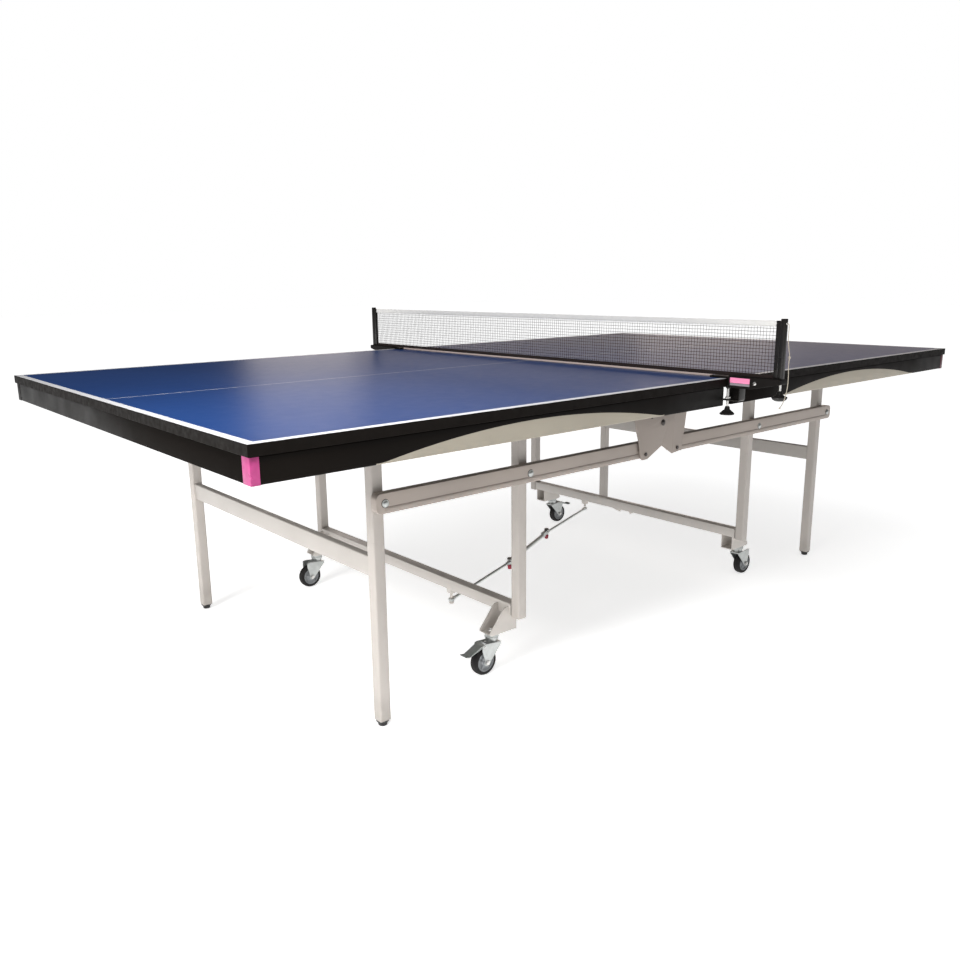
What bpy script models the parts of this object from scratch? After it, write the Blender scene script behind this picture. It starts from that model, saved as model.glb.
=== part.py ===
"""Folding ping pong table: two hinged half tops on a rollaway undercarriage.

Frame: X runs along the table, Y across it, Z up. The origin is on the floor
under the middle of the net line. "left" is the -X half, "near" the -Y side.
All lengths are in metres.
"""
import math

import bmesh
import bpy
from mathutils import Matrix, Vector

# ---- driving dimensions -------------------------------------------------
TABLE_LENGTH = 2.74
TABLE_WIDTH = 1.525
TABLE_HEIGHT = 0.76
NET_HEIGHT = 0.1525
NET_OVERHANG = 0.1525

GAP = 0.0003               # clearance between pieces that touch
WALL = 0.002               # sheet and tube wall
BOARD_THICKNESS = 0.022
BOARD_GAP = 0.003          # slot between the two half tops
APRON_HEIGHT = 0.050
APRON_DEPTH = 0.018
APRON_INSET = 0.0045       # the board overhangs the apron by this much
APRON_NET_GAP = 0.041      # slot between the aprons at the net line

LEG = 0.030                # square leg tube
LEG_Y = 0.500
OUTER_LEG_X = 0.957
INNER_LEG_X = 0.518
OUTER_LEG_BOTTOM = 0.015
INNER_LEG_BOTTOM = 0.150
OUTER_BAR_Z = 0.389
INNER_BAR_Z = 0.170

TOP_HINGE_Z = 0.689        # pins at the tops of the legs
RAIL_Z = 0.546             # rail pivots on the legs
# the bolt that joins the left and right linkage, right under the board slot
CENTRE_BOLT_Z = TABLE_HEIGHT - (TOP_HINGE_Z - RAIL_Z)
PIN_R = 0.004
STUD_R = 0.006
PIN_CLEARANCE = 0.0004

RAIL_HEIGHT = 0.046
RAIL_INNER_Y = 0.5205
RAIL_OUTER_Y = 0.5435
RAIL_END_X = 0.075         # lower bolt of the centre plates
PLATE = 0.003

CASTER_X = 0.575
CASTER_Y = 0.455
CASTER_TRAIL = 0.030
WHEEL_R = 0.0375
WHEEL_WIDTH = 0.024
CASTER_PLATE_Z = 0.1085
PEDAL_PIVOT = (0.0390, 0.0830)   # outwards from the swivel axis, and up

POST_OUTER_Y = TABLE_WIDTH / 2 + NET_OVERHANG    # outer faces of the net posts
POST = 0.015
POST_MIDDLE_Y = POST_OUTER_Y - POST / 2
POST_TOP_Z = TABLE_HEIGHT + NET_HEIGHT + 0.005
HOOK_STRIP_Y = POST_OUTER_Y - POST - 0.012       # where the netting ends

STAY_Z = 0.119
STAY_END = Vector((INNER_LEG_X, 0.215, 0))
STAY_JOINT = Vector((0.165, 0.080, 0))

BOARD_BOTTOM = TABLE_HEIGHT - BOARD_THICKNESS
APRON_TOP = BOARD_BOTTOM - GAP
APRON_BOTTOM = APRON_TOP - APRON_HEIGHT

SIDES = (("left", -1), ("right", 1))
ENDS = (("near", -1), ("far", 1))
BRAKED = ("left_near", "right_far")        # corners whose caster has a brake pedal

# ---- scene and helpers --------------------------------------------------
for old in list(bpy.data.objects):
    bpy.data.objects.remove(old, do_unlink=True)


def new_collection(name):
    found = bpy.data.collections.get(name)
    if found is None:
        found = bpy.data.collections.new(name)
        bpy.context.scene.collection.children.link(found)
    return found


WELD_DISTANCE = 0.00001
PARTS = new_collection("ping_pong_table")
CUTTERS = new_collection("cutters")


def material(name, color, roughness, metallic):
    mat = bpy.data.materials.get(name) or bpy.data.materials.new(name)
    mat.use_nodes = True
    shader = mat.node_tree.nodes["Principled BSDF"]
    shader.inputs["Base Color"].default_value = (*color, 1)
    shader.inputs["Roughness"].default_value = roughness
    shader.inputs["Metallic"].default_value = metallic
    return mat


BLUE = material("playing_surface", (0.11, 0.12, 0.24), 0.45, 0)
APRON_PAINT = material("apron_paint", (0.42, 0.39, 0.31), 0.5, 0.3)
FRAME_PAINT = material("frame_paint", (0.52, 0.47, 0.43), 0.45, 0.4)
RAIL_PAINT = material("rail_paint", (0.34, 0.29, 0.26), 0.45, 0.4)
ZINC = material("zinc", (0.45, 0.48, 0.47), 0.35, 1)
BLACK = material("black_plastic", (0.012, 0.011, 0.011), 0.5, 0)
RUBBER = material("black_rubber", (0.02, 0.018, 0.018), 0.8, 0)
NETTING = material("netting", (0.05, 0.045, 0.045), 0.8, 0)
CORD = material("cord", (0.55, 0.50, 0.40), 0.8, 0)


def place(obj, collection=PARTS):
    for home in list(obj.users_collection):
        home.objects.unlink(obj)
    collection.objects.link(obj)
    return obj


def as_part(obj, name, mat):
    obj.name = name
    obj.data.name = name
    obj.data.materials.clear()
    obj.data.materials.append(mat)
    return place(obj)


def box(low, high, bevel=0.0):
    """A mesh box between two corners, with its edges rounded by bevel."""
    low, high = Vector(low), Vector(high)
    mesh = bpy.data.meshes.new("box")
    work = bmesh.new()
    bmesh.ops.create_cube(work, size=1)
    bmesh.ops.scale(work, vec=high - low, verts=work.verts)
    bmesh.ops.translate(work, vec=(low + high) / 2, verts=work.verts)
    if bevel:
        bmesh.ops.bevel(work, geom=work.edges, offset=bevel, segments=1,
                        affect="EDGES", clamp_overlap=True)
    work.to_mesh(mesh)
    work.free()
    return place(bpy.data.objects.new("box", mesh))


def rod(start, end, radius, sides=12, end_radius=None):
    """A closed cylinder or cone from start to end."""
    start, end = Vector(start), Vector(end)
    mesh = bpy.data.meshes.new("rod")
    work = bmesh.new()
    bmesh.ops.create_cone(work, cap_ends=True, segments=sides, radius1=radius,
                          radius2=radius if end_radius is None else end_radius,
                          depth=(end - start).length)
    turn = (end - start).to_track_quat("Z", "Y").to_matrix().to_4x4()
    bmesh.ops.transform(work, matrix=Matrix.Translation((start + end) / 2) @ turn,
                        verts=work.verts)
    work.to_mesh(mesh)
    work.free()
    return place(bpy.data.objects.new("rod", mesh))


def sheet(outline, start, end, plane="XZ"):
    """A flat outline, given in the plane's two axes, as thick as start to end."""
    curve = bpy.data.curves.new("sheet", "CURVE")
    curve.dimensions = "2D"
    curve.fill_mode = "BOTH"
    curve.extrude = abs(end - start) / 2
    spline = curve.splines.new("POLY")
    spline.points.add(len(outline) - 1)
    for point, (across, up) in zip(spline.points, outline):
        point.co = (across, up, 0, 1)
    spline.use_cyclic_u = True
    obj = place(bpy.data.objects.new("sheet", curve))
    middle = (start + end) / 2
    if plane == "XZ":
        obj.matrix_world = Matrix.Translation((0, middle, 0)) @ Matrix.Rotation(math.pi / 2, 4, "X")
    else:
        obj.matrix_world = Matrix.Translation((0, 0, middle))
    bpy.context.view_layer.update()
    return welded(frozen(obj))


def welded(obj):
    """Join the loose caps of a solid that was a curve."""
    work = bmesh.new()
    work.from_mesh(obj.data)
    bmesh.ops.remove_doubles(work, verts=work.verts, dist=WELD_DISTANCE)
    bmesh.ops.recalc_face_normals(work, faces=work.faces)
    work.to_mesh(obj.data)
    work.free()
    return obj


def arc(centre, radius, start_deg, end_deg, steps):
    """Points on an arc in the outline's own plane."""
    span = end_deg - start_deg
    points = []
    for i in range(steps + 1):
        angle = math.radians(start_deg + span * i / steps)
        points.append((centre[0] + radius * math.cos(angle),
                       centre[1] + radius * math.sin(angle)))
    return points


def turned(profile, centre, axis, sides=14):
    """A turned solid. The profile is (radius, height) pairs, top to bottom."""
    mesh = bpy.data.meshes.new("turned")
    mesh.from_pydata([(r, 0, h) for r, h in profile],
                     [(i, i + 1) for i in range(len(profile) - 1)], [])
    obj = place(bpy.data.objects.new("turned", mesh))
    screw = obj.modifiers.new("Screw", "SCREW")
    screw.axis = "Z"
    screw.angle = math.tau
    screw.steps = screw.render_steps = sides
    screw.use_merge_vertices = True
    screw.merge_threshold = 0.0001
    solid = frozen(obj)
    turn = Vector(axis).to_track_quat("Z", "Y").to_matrix().to_4x4()
    solid.data.transform(Matrix.Translation(Vector(centre)) @ turn)
    return solid


def frozen(obj):
    """Replace an object by the mesh that its modifiers give."""
    depsgraph = bpy.context.evaluated_depsgraph_get()
    mesh = bpy.data.meshes.new_from_object(obj.evaluated_get(depsgraph))
    mesh.transform(obj.matrix_world)
    fresh = place(bpy.data.objects.new(obj.name, mesh))
    bpy.data.objects.remove(obj, do_unlink=True)
    return fresh


def combine(body, others, operation):
    """Boolean the other solids into the body, one at a time."""
    for other in others:
        if operation == "DIFFERENCE":
            place(other, CUTTERS)
        step = body.modifiers.new("Boolean", "BOOLEAN")
        step.operation = operation
        step.solver = "EXACT"
        step.object = other
        body = frozen(body)
        bpy.data.objects.remove(other, do_unlink=True)
    return body


def join(body, *others):
    return combine(body, others, "UNION")


def cut(body, *others):
    return combine(body, others, "DIFFERENCE")


def smooth(obj):
    obj.data.shade_smooth()
    obj.data.set_sharp_from_angle(angle=math.radians(35))
    return obj


def span(a, b):
    """Two coordinates in rising order."""
    return (a, b) if a < b else (b, a)


def side_box(sx, sy, x, y, z, bevel=0.0):
    """A box given for the right far quarter, mirrored into quarter sx, sy."""
    x0, x1 = span(sx * x[0], sx * x[1])
    y0, y1 = span(sy * y[0], sy * y[1])
    return box((x0, y0, z[0]), (x1, y1, z[1]), bevel)


# ---- half tops ----------------------------------------------------------
def make_board(side, sx):
    edge = 0.0015
    board = side_box(sx, 1, (BOARD_GAP / 2, TABLE_LENGTH / 2),
                     (-TABLE_WIDTH / 2, TABLE_WIDTH / 2),
                     (BOARD_BOTTOM, TABLE_HEIGHT), edge)
    as_part(board, side + "_board", BLUE)


def make_aprons(side, sx):
    """Folded steel skirts, open towards the middle of the table."""
    outer_x = TABLE_LENGTH / 2 - APRON_INSET
    outer_y = TABLE_WIDTH / 2 - APRON_INSET
    z = (APRON_BOTTOM, APRON_TOP)
    for end, sy in ENDS:
        skirt = side_box(sx, sy, (APRON_NET_GAP / 2, outer_x),
                         (outer_y - APRON_DEPTH, outer_y), z, 0.0015)
        hollow = side_box(sx, sy, (APRON_NET_GAP / 2 + WALL, outer_x - WALL),
                          (outer_y - APRON_DEPTH - WALL, outer_y - WALL),
                          (z[0] + WALL, z[1] - WALL))
        as_part(cut(skirt, hollow), side + "_" + end + "_apron", APRON_PAINT)
    inner_y = outer_y - APRON_DEPTH - GAP
    skirt = side_box(sx, 1, (outer_x - APRON_DEPTH, outer_x), (-inner_y, inner_y), z, 0.0015)
    hollow = side_box(sx, 1, (outer_x - APRON_DEPTH - WALL, outer_x - WALL),
                      (WALL - inner_y, inner_y - WALL), (z[0] + WALL, z[1] - WALL))
    as_part(cut(skirt, hollow), side + "_end_apron", APRON_PAINT)


def make_beam(name, x):
    """A U channel under the board, with two lugs for each leg-top pin."""
    depth = 0.0287
    reach = TABLE_WIDTH / 2 - APRON_INSET - APRON_DEPTH - GAP
    low = APRON_TOP - depth
    beam = box((x - LEG / 2, -reach, low), (x + LEG / 2, reach, APRON_TOP))
    beam = cut(beam, box((x - LEG / 2 + WALL, WALL - reach, low + WALL),
                         (x + LEG / 2 - WALL, reach - WALL, APRON_TOP + WALL)))
    lug_half = 0.013
    for _, sy in ENDS:
        for y in (LEG_Y - LEG / 2 - GAP - PLATE, LEG_Y + LEG / 2 + GAP):
            outline = [(x + lug_half, low + WALL / 2)]
            outline += arc((x, TOP_HINGE_Z), lug_half, 0, -180, 6)
            outline += [(x - lug_half, low + WALL / 2)]
            beam = join(beam, sheet(outline, sy * y, sy * (y + PLATE)))
        pin_low = LEG_Y - LEG
        pin_high = LEG_Y + LEG
        beam = cut(beam, rod((x, sy * pin_low, TOP_HINGE_Z), (x, sy * pin_high, TOP_HINGE_Z),
                             PIN_R + PIN_CLEARANCE, 10))
    as_part(beam, name, FRAME_PAINT)


# ---- legs ---------------------------------------------------------------
def make_leg(name, sx, sy, x, bottom):
    """A square tube, open below, with its top pin and its rail stud."""
    top = TOP_HINGE_Z + 0.012
    x, y = sx * x, sy * LEG_Y
    half = LEG / 2
    leg = box((x - half, y - half, bottom), (x + half, y + half, top), 0.002)
    leg = cut(leg, box((x - half + WALL, y - half + WALL, bottom - WALL),
                       (x + half - WALL, y + half - WALL, top - WALL)))
    pin_reach = half + GAP + PLATE + 0.001
    pin = rod((x, y - pin_reach, TOP_HINGE_Z), (x, y + pin_reach, TOP_HINGE_Z), PIN_R, 10)
    head_y = RAIL_OUTER_Y + GAP
    stud = rod((x, sy * (LEG_Y + half - WALL / 2), RAIL_Z), (x, sy * (head_y + 0.002), RAIL_Z),
               STUD_R)
    head = rod((x, sy * head_y, RAIL_Z), (x, sy * (head_y + 0.004), RAIL_Z), 0.0105, 12, 0.008)
    as_part(smooth(join(leg, pin, stud, head)), name, FRAME_PAINT)


def make_foot(name, sx, sy):
    """A round plastic glide plugged into the leg tube."""
    profile = [(0, 0.034), (0.0125, 0.034), (0.0125, OUTER_LEG_BOTTOM - GAP),
               (0.0160, OUTER_LEG_BOTTOM - GAP), (0.0160, 0.0115), (0.0115, 0.0100),
               (0.0105, 0), (0, 0)]
    foot = turned(profile, (sx * OUTER_LEG_X, sy * LEG_Y, 0), (0, 0, 1))
    as_part(smooth(foot), name, BLACK)


def crossbar(x, z, width, height):
    """A rectangular tube between two legs, open at both ends."""
    reach = LEG_Y - LEG / 2 - GAP
    bar = box((x - width / 2, -reach, z - height / 2), (x + width / 2, reach, z + height / 2), 0.0)
    bore = box((x - width / 2 + WALL, -reach - WALL, z - height / 2 + WALL),
               (x + width / 2 - WALL, reach + WALL, z + height / 2 - WALL))
    return cut(bar, bore)


def make_outer_crossbar(side, sx):
    bar = crossbar(sx * OUTER_LEG_X, OUTER_BAR_Z, 0.020, 0.048)
    as_part(bar, side + "_outer_crossbar", FRAME_PAINT)


def caster_bracket(sx, sy):
    """A folded channel, open at its end, from the crossbar down to the caster's stud."""
    inner_x, outer_x = INNER_LEG_X - LEG / 2 + 0.002, CASTER_X + 0.024
    y0, y1 = CASTER_Y - 0.022, CASTER_Y + 0.022
    bar_low = INNER_BAR_Z - LEG / 2
    top = bar_low + 0.022
    face_x = INNER_LEG_X + LEG / 2
    low = CASTER_PLATE_Z
    outline = [(inner_x, low), (outer_x - 0.006, low), (outer_x, low + 0.005),
               (outer_x - 0.001, low + 0.010), (face_x + 0.018, top - 0.003),
               (face_x + 0.012, top), (face_x - 0.001, top),
               (face_x - 0.001, bar_low + 0.001), (inner_x, bar_low + 0.001)]
    pieces = []
    for y in ((y0, y0 + PLATE), (y1 - PLATE, y1)):
        pieces.append(sheet([(sx * px, pz) for px, pz in outline], sy * y[0], sy * y[1]))
    web = [(inner_x, low), (outer_x - 0.006, low), (outer_x - 0.0045, low + 0.0015),
           (outer_x - 0.0055, low + PLATE), (inner_x, low + PLATE)]
    pieces.append(sheet([(sx * px, pz) for px, pz in web], sy * (y0 + 0.001), sy * (y1 - 0.001)))
    return pieces


def stay_lug(sx, pin_low):
    """A lug under the crossbar, with the pin that holds the end of the stay."""
    x, y = sx * STAY_END.x, sx * STAY_END.y
    bar_low = INNER_BAR_Z - LEG / 2
    outline = [(x - 0.012, bar_low + 0.001), (x - 0.008, STAY_Z + 0.020),
               (x + 0.008, STAY_Z + 0.020), (x + 0.012, bar_low + 0.001)]
    plate = sheet(outline, y - 0.009, y + 0.009)
    pin = rod((x, y, pin_low), (x, y, bar_low + 0.001), PIN_R)
    if sx > 0:
        return [plate, pin]
    nut = rod((x, y, STAY_Z - 0.012), (x, y, STAY_Z - 0.0075), 0.0075, 6)
    return [plate, pin, nut]


def stay_catch():
    """A notched hook plate under the right crossbar that parks the folded stay."""
    x = INNER_LEG_X
    bar_low = INNER_BAR_Z - LEG / 2 + 0.001
    profile = [(0.10, bar_low), (0.035, 0.1425), (0.030, 0.1425), (0.030, 0.150), (-0.012, 0.150),
               (-0.018, 0.1420), (-0.045, bar_low)]
    plate = sheet([(y, z) for y, z in profile], -PLATE / 2, PLATE / 2)
    plate.data.transform(Matrix.Translation((x, 0, 0)) @ Matrix.Rotation(math.pi / 2, 4, "Z"))
    return plate


def make_inner_crossbar(side, sx):
    bar = crossbar(sx * INNER_LEG_X, INNER_BAR_Z, LEG, LEG)
    for _, sy in ENDS:
        bar = join(bar, *caster_bracket(sx, sy))
        bar = cut(bar, rod((sx * CASTER_X, sy * CASTER_Y, CASTER_PLATE_Z - WALL),
                           (sx * CASTER_X, sy * CASTER_Y, CASTER_PLATE_Z + 0.006),
                           STUD_R + PIN_CLEARANCE))
    if sx < 0:
        bar = join(bar, *stay_lug(sx, STAY_Z - 0.010))
    else:
        bar = join(bar, *stay_lug(sx, STAY_Z + 0.0085), stay_catch())
    as_part(bar, side + "_inner_crossbar", FRAME_PAINT)


# ---- side rails and centre plates --------------------------------------
def stadium(x0, x1, z, radius, steps):
    """A bar outline with round ends."""
    return arc((x0, z), radius, 90, 270, steps) + arc((x1, z), radius, -90, 90, steps)


def make_rail(name, sx, sy):
    """A pressed channel, open towards the legs, with round ends and a groove."""
    near_x, far_x = span(sx * RAIL_END_X, sx * OUTER_LEG_X)
    radius = RAIL_HEIGHT / 2
    rail = sheet(stadium(near_x, far_x, RAIL_Z, radius, 8), sy * RAIL_INNER_Y, sy * RAIL_OUTER_Y)
    hollow = sheet(stadium(near_x, far_x, RAIL_Z, radius - WALL, 8),
                   sy * (RAIL_INNER_Y - WALL), sy * (RAIL_OUTER_Y - WALL))
    rail = cut(rail, hollow)
    groove_x = span(sx * (RAIL_END_X + 0.045), sx * (OUTER_LEG_X - 0.12))
    groove = sheet(stadium(groove_x[0], groove_x[1], RAIL_Z - 0.009, 0.003, 4),
                   sy * (RAIL_OUTER_Y - 0.0010), sy * (RAIL_OUTER_Y + 0.0010))
    rail = cut(rail, groove)
    for x in (sx * OUTER_LEG_X, sx * INNER_LEG_X):
        rail = cut(rail, rod((x, sy * (RAIL_OUTER_Y - 0.006), RAIL_Z),
                             (x, sy * (RAIL_OUTER_Y + 0.006), RAIL_Z), STUD_R + PIN_CLEARANCE))
    as_part(smooth(rail), name, RAIL_PAINT)


def make_left_plate(name, sy):
    """Trapezoid plate with an arched top, outside the right plate."""
    y = RAIL_OUTER_Y + 0.0040
    bolt = (0, CENTRE_BOLT_Z)
    outline = arc(bolt, 0.022, -30, 62, 6) + arc((-0.079, 0.581), 0.077, 72, 128, 6)
    outline += [(-0.116, 0.600), (-0.106, 0.573), (-0.097, 0.529), (-0.086, 0.519),
                (-0.066, 0.519), (-0.004, 0.549)]
    plate = sheet(outline, sy * y, sy * (y + PLATE))
    pad = sheet(stadium(-0.090, -0.074, RAIL_Z - 0.004, 0.010, 4), sy * (RAIL_OUTER_Y + GAP),
                sy * (y + PLATE / 2))
    lower_bolt = rod((-RAIL_END_X, sy * (y + PLATE / 2), 0.534),
                     (-RAIL_END_X, sy * (y + PLATE + 0.003), 0.534), 0.006, 6)
    plate = join(plate, pad, lower_bolt)
    plate = cut(plate, rod((0, sy * (y - PLATE), bolt[1]), (0, sy * (y + 2 * PLATE), bolt[1]),
                           STUD_R + PIN_CLEARANCE))
    as_part(plate, name, RAIL_PAINT)


def make_right_plate(name, sy):
    """Taller plate against the right rail, carrying the common bolt."""
    y = RAIL_OUTER_Y + GAP
    bolt = (0, CENTRE_BOLT_Z)
    outline = [(0.097, 0.519), (0.100, 0.545), (0.110, 0.600), (0.116, 0.640), (0.106, 0.662),
               (0.050, 0.662)]
    outline += arc(bolt, 0.022, 120, 215, 6) + [(0.002, 0.549), (0.052, 0.519)]
    plate = sheet(outline, sy * y, sy * (y + PLATE))
    out = RAIL_OUTER_Y + 0.0040 + PLATE
    bolt_shaft = rod((0, sy * (y + PLATE / 2), bolt[1]), (0, sy * (out + 0.002), bolt[1]), STUD_R)
    head = rod((0, sy * (out + GAP), bolt[1]), (0, sy * (out + 0.0045), bolt[1]), 0.0105, 12, 0.008)
    fold = [(0.053, 0.522), (0.056, 0.522), (0.060, 0.660), (0.057, 0.660)]
    rib = sheet(fold, sy * (y + PLATE / 2), sy * (y + PLATE + 0.0004))
    lower_bolt = rod((RAIL_END_X, sy * (y + PLATE / 2), 0.534),
                     (RAIL_END_X, sy * (y + PLATE + 0.003), 0.534), 0.006, 6)
    as_part(join(plate, rib, bolt_shaft, head, lower_bolt), name, RAIL_PAINT)


# ---- casters ------------------------------------------------------------
def make_fork(name, sx, sy, braked):
    """Swivel race, crown, two cheeks and the axle of one caster."""
    cx, cy = sx * CASTER_X, sy * CASTER_Y
    ax, az = cx + sx * CASTER_TRAIL, WHEEL_R
    cheek_y = WHEEL_WIDTH / 2 + 0.0030
    crown = (0.0805, 0.0850)
    race = turned([(0, 0.1080), (0.0190, 0.1080), (0.0190, 0.0980), (0.0150, 0.0900),
                   (0.0150, 0.0820), (0, 0.0820)], (cx, cy, 0), (0, 0, 1))
    plate_x = span(cx + sx * 0.018, cx - sx * 0.019)
    plate = box((plate_x[0], cy - cheek_y - 0.0015, crown[0]),
                (plate_x[1], cy + cheek_y + 0.0015, crown[1]))
    stem = rod((cx, cy, 0.1070), (cx, cy, CASTER_PLATE_Z + 0.014), STUD_R)
    nut = rod((cx, cy, CASTER_PLATE_Z + PLATE + GAP), (cx, cy, CASTER_PLATE_Z + 0.010), 0.0100, 6)
    fork = join(race, plate, stem, nut)
    outline = [(-0.019, crown[1]), (-0.019, crown[0] - 0.002)]
    outline += arc((CASTER_TRAIL, az), 0.0095, 225, 400, 5)
    outline += [(0.046, 0.0700), (0.046, 0.0890), (0.036, 0.0900)]
    for s in (-1, 1):
        y = span(cy + s * cheek_y, cy + s * (cheek_y + 0.0025))
        cheek = sheet([(cx + sx * px, pz) for px, pz in outline], y[0], y[1])
        fork = join(fork, cheek)
    out = cheek_y + 0.0065
    axle = rod((ax, cy - out, az), (ax, cy + out, az), PIN_R)
    heads = [rod((ax, cy + s * (cheek_y + 0.002), az), (ax, cy + s * out, az), 0.0070, 6)
             for s in (-1, 1)]
    fork = join(fork, axle, *heads)
    if braked:
        px, pz = PEDAL_PIVOT
        fork = cut(fork, rod((cx + sx * px, cy - 0.05, pz), (cx + sx * px, cy + 0.05, pz),
                             0.0025 + PIN_CLEARANCE))
    as_part(smooth(fork), name, ZINC)


def make_wheel(name, sx, sy):
    """Rubber-tyred wheel turned about its axle, with a clear bore."""
    half = WHEEL_WIDTH / 2
    bore = PIN_R + PIN_CLEARANCE
    profile = [(bore, half + 0.0015), (0.0100, half + 0.0015), (0.0100, half - 0.0010),
               (0.0330, half), (0.0362, half - 0.0030), (WHEEL_R, half - 0.0070)]
    profile += [(r, -h) for r, h in reversed(profile)] + [profile[0]]
    wheel = turned(profile, (sx * (CASTER_X + CASTER_TRAIL), sy * CASTER_Y, WHEEL_R),
                   (0, 1, 0), 24)
    as_part(smooth(wheel), name, RUBBER)


def make_pedal(name, sx, sy):
    """Stamped foot lever that pivots in the fork's cheeks above the wheel."""
    cx, cy = sx * CASTER_X, sy * CASTER_Y
    px, pz = PEDAL_PIVOT
    outline = [(px - 0.0045, 0.0870), (px - 0.0045, 0.0790), (px + 0.008, 0.0775),
               (px + 0.024, 0.0735), (px + 0.046, 0.0660), (px + 0.060, 0.0690),
               (px + 0.060, 0.0715), (px + 0.046, 0.0692), (px + 0.026, 0.0780),
               (px + 0.008, 0.0865)]
    half = WHEEL_WIDTH / 2 + 0.0020
    lever = sheet([(cx + sx * x, z) for x, z in outline], cy - half, cy + half)
    pin = rod((cx + sx * px, cy - half - 0.006, pz), (cx + sx * px, cy + half + 0.006, pz), 0.0025)
    as_part(join(lever, pin), name, BLACK)


# ---- folding stay -------------------------------------------------------
def eye(centre, radius, bore):
    low, high = STAY_Z - 0.0055, STAY_Z + 0.0055
    ring = rod((centre.x, centre.y, low), (centre.x, centre.y, high), radius)
    return ring, rod((centre.x, centre.y, low - WALL), (centre.x, centre.y, high + WALL), bore)


def make_stay_rod(name, sx):
    """Thin rod with a flat eye at each end."""
    end, joint = sx * STAY_END, sx * STAY_JOINT
    run = (joint - end).normalized()
    bore = PIN_R + PIN_CLEARANCE
    ring_a, bore_a = eye(end, 0.0090, bore)
    ring_b, bore_b = eye(joint, 0.0090, bore)
    lift = Vector((0, 0, STAY_Z))
    wire = rod(end + run * 0.0065 + lift, joint - run * 0.0065 + lift, 0.0040, 12)
    as_part(smooth(cut(join(wire, ring_a, ring_b), bore_a, bore_b)), name, ZINC)


def make_stay_bar():
    """Thick middle bar with a pin, a cap and a grip knob at each end."""
    start, end = -STAY_JOINT, STAY_JOINT
    run = (end - start).normalized()
    across = Vector((-run.y, run.x, 0))
    lift = Vector((0, 0, STAY_Z))
    bar = rod(start + run * 0.024 + lift, end - run * 0.024 + lift, 0.0065, 12)
    tongue_z = (STAY_Z + 0.0058, STAY_Z + 0.0098)
    for point, way in ((start, run), (end, -run)):
        corners = [point - across * 0.006, point + across * 0.006,
                   point + way * 0.036 + across * 0.006, point + way * 0.036 - across * 0.006]
        tongue = sheet([(c.x, c.y) for c in corners], tongue_z[0] - 0.0002, tongue_z[1], "XY")
        foot = [point + way * 0.0265 - across * 0.006, point + way * 0.0265 + across * 0.006,
                point + way * 0.036 + across * 0.006, point + way * 0.036 - across * 0.006]
        riser = sheet([(c.x, c.y) for c in foot], STAY_Z, tongue_z[1] - 0.001, "XY")
        pin = rod((point.x, point.y, STAY_Z - 0.020), (point.x, point.y, tongue_z[1] - 0.001),
                  PIN_R)
        cap = rod((point.x, point.y, tongue_z[0]), (point.x, point.y, STAY_Z + 0.0155), 0.0085)
        knob = rod((point.x, point.y, STAY_Z - 0.0235), (point.x, point.y, STAY_Z - 0.0085),
                   0.0080, 12, 0.0065)
        bar = join(bar, tongue, riser, cap, pin, knob)
    as_part(smooth(bar), "stay_middle_bar", ZINC)


# ---- net set ------------------------------------------------------------
CLAMP_BODY_Z = (0.7368, 0.7685)
CLAMP_TIP_Z = 0.7550       # underside of the block at its outer end
CLAMP_SCREW_Y = 0.758
ARM_Z = (0.7015, 0.7045)
KNOB_SHAFT_R = 0.003
KNOB_SHAFT_TOP = 0.7630


def make_post(name, sy):
    """Square net post with a slim hook strip, welded on the clamp's wedge block."""
    low, high = CLAMP_BODY_Z[1] - 0.002, POST_TOP_Z
    half = POST / 2
    post = side_box(1, sy, (-half, half), (POST_OUTER_Y - POST, POST_OUTER_Y), (low, high), 0.003)
    strip = side_box(1, sy, (-0.005, 0.005), (HOOK_STRIP_Y, POST_OUTER_Y - POST + 0.002),
                     (low, TABLE_HEIGHT + NET_HEIGHT), 0.0015)
    inner_y, outer_y = TABLE_WIDTH / 2 + 0.004, POST_OUTER_Y + 0.002
    wedge = [(inner_y, CLAMP_BODY_Z[0]), (0.838, CLAMP_BODY_Z[0] + 0.001), (outer_y, CLAMP_TIP_Z),
             (outer_y, CLAMP_BODY_Z[1]), (inner_y, CLAMP_BODY_Z[1])]
    block_half = 0.017
    block = sheet([(sy * y, z) for y, z in wedge], -block_half, block_half)
    block.data.transform(Matrix.Rotation(math.pi / 2, 4, "Z"))
    jaw = side_box(1, sy, (-0.018, 0.018), (TABLE_WIDTH / 2 - 0.054, TABLE_WIDTH / 2 + 0.008),
                   (TABLE_HEIGHT + GAP, TABLE_HEIGHT + 0.0050), 0.001)
    bore = rod((0, sy * POST_MIDDLE_Y, CLAMP_TIP_Z - 0.01),
               (0, sy * POST_MIDDLE_Y, KNOB_SHAFT_TOP + GAP), KNOB_SHAFT_R + PIN_CLEARANCE)
    as_part(cut(join(block, jaw, post, strip), bore), name, BLACK)


def make_height_knob(name, sy):
    """Saucer-shaped knob on a steel shaft, under the post."""
    profile = [(0, KNOB_SHAFT_TOP), (KNOB_SHAFT_R, KNOB_SHAFT_TOP), (KNOB_SHAFT_R, 0.7380),
               (0.0065, 0.7370), (0.0075, 0.7310), (0.0125, 0.7260), (0.0190, 0.7235),
               (0.0195, 0.7205), (0.0165, 0.7160), (0.0100, 0.7130), (0, 0.7120)]
    as_part(smooth(turned(profile, (0, sy * POST_MIDDLE_Y, 0), (0, 0, 1))), name, BLACK)


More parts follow.
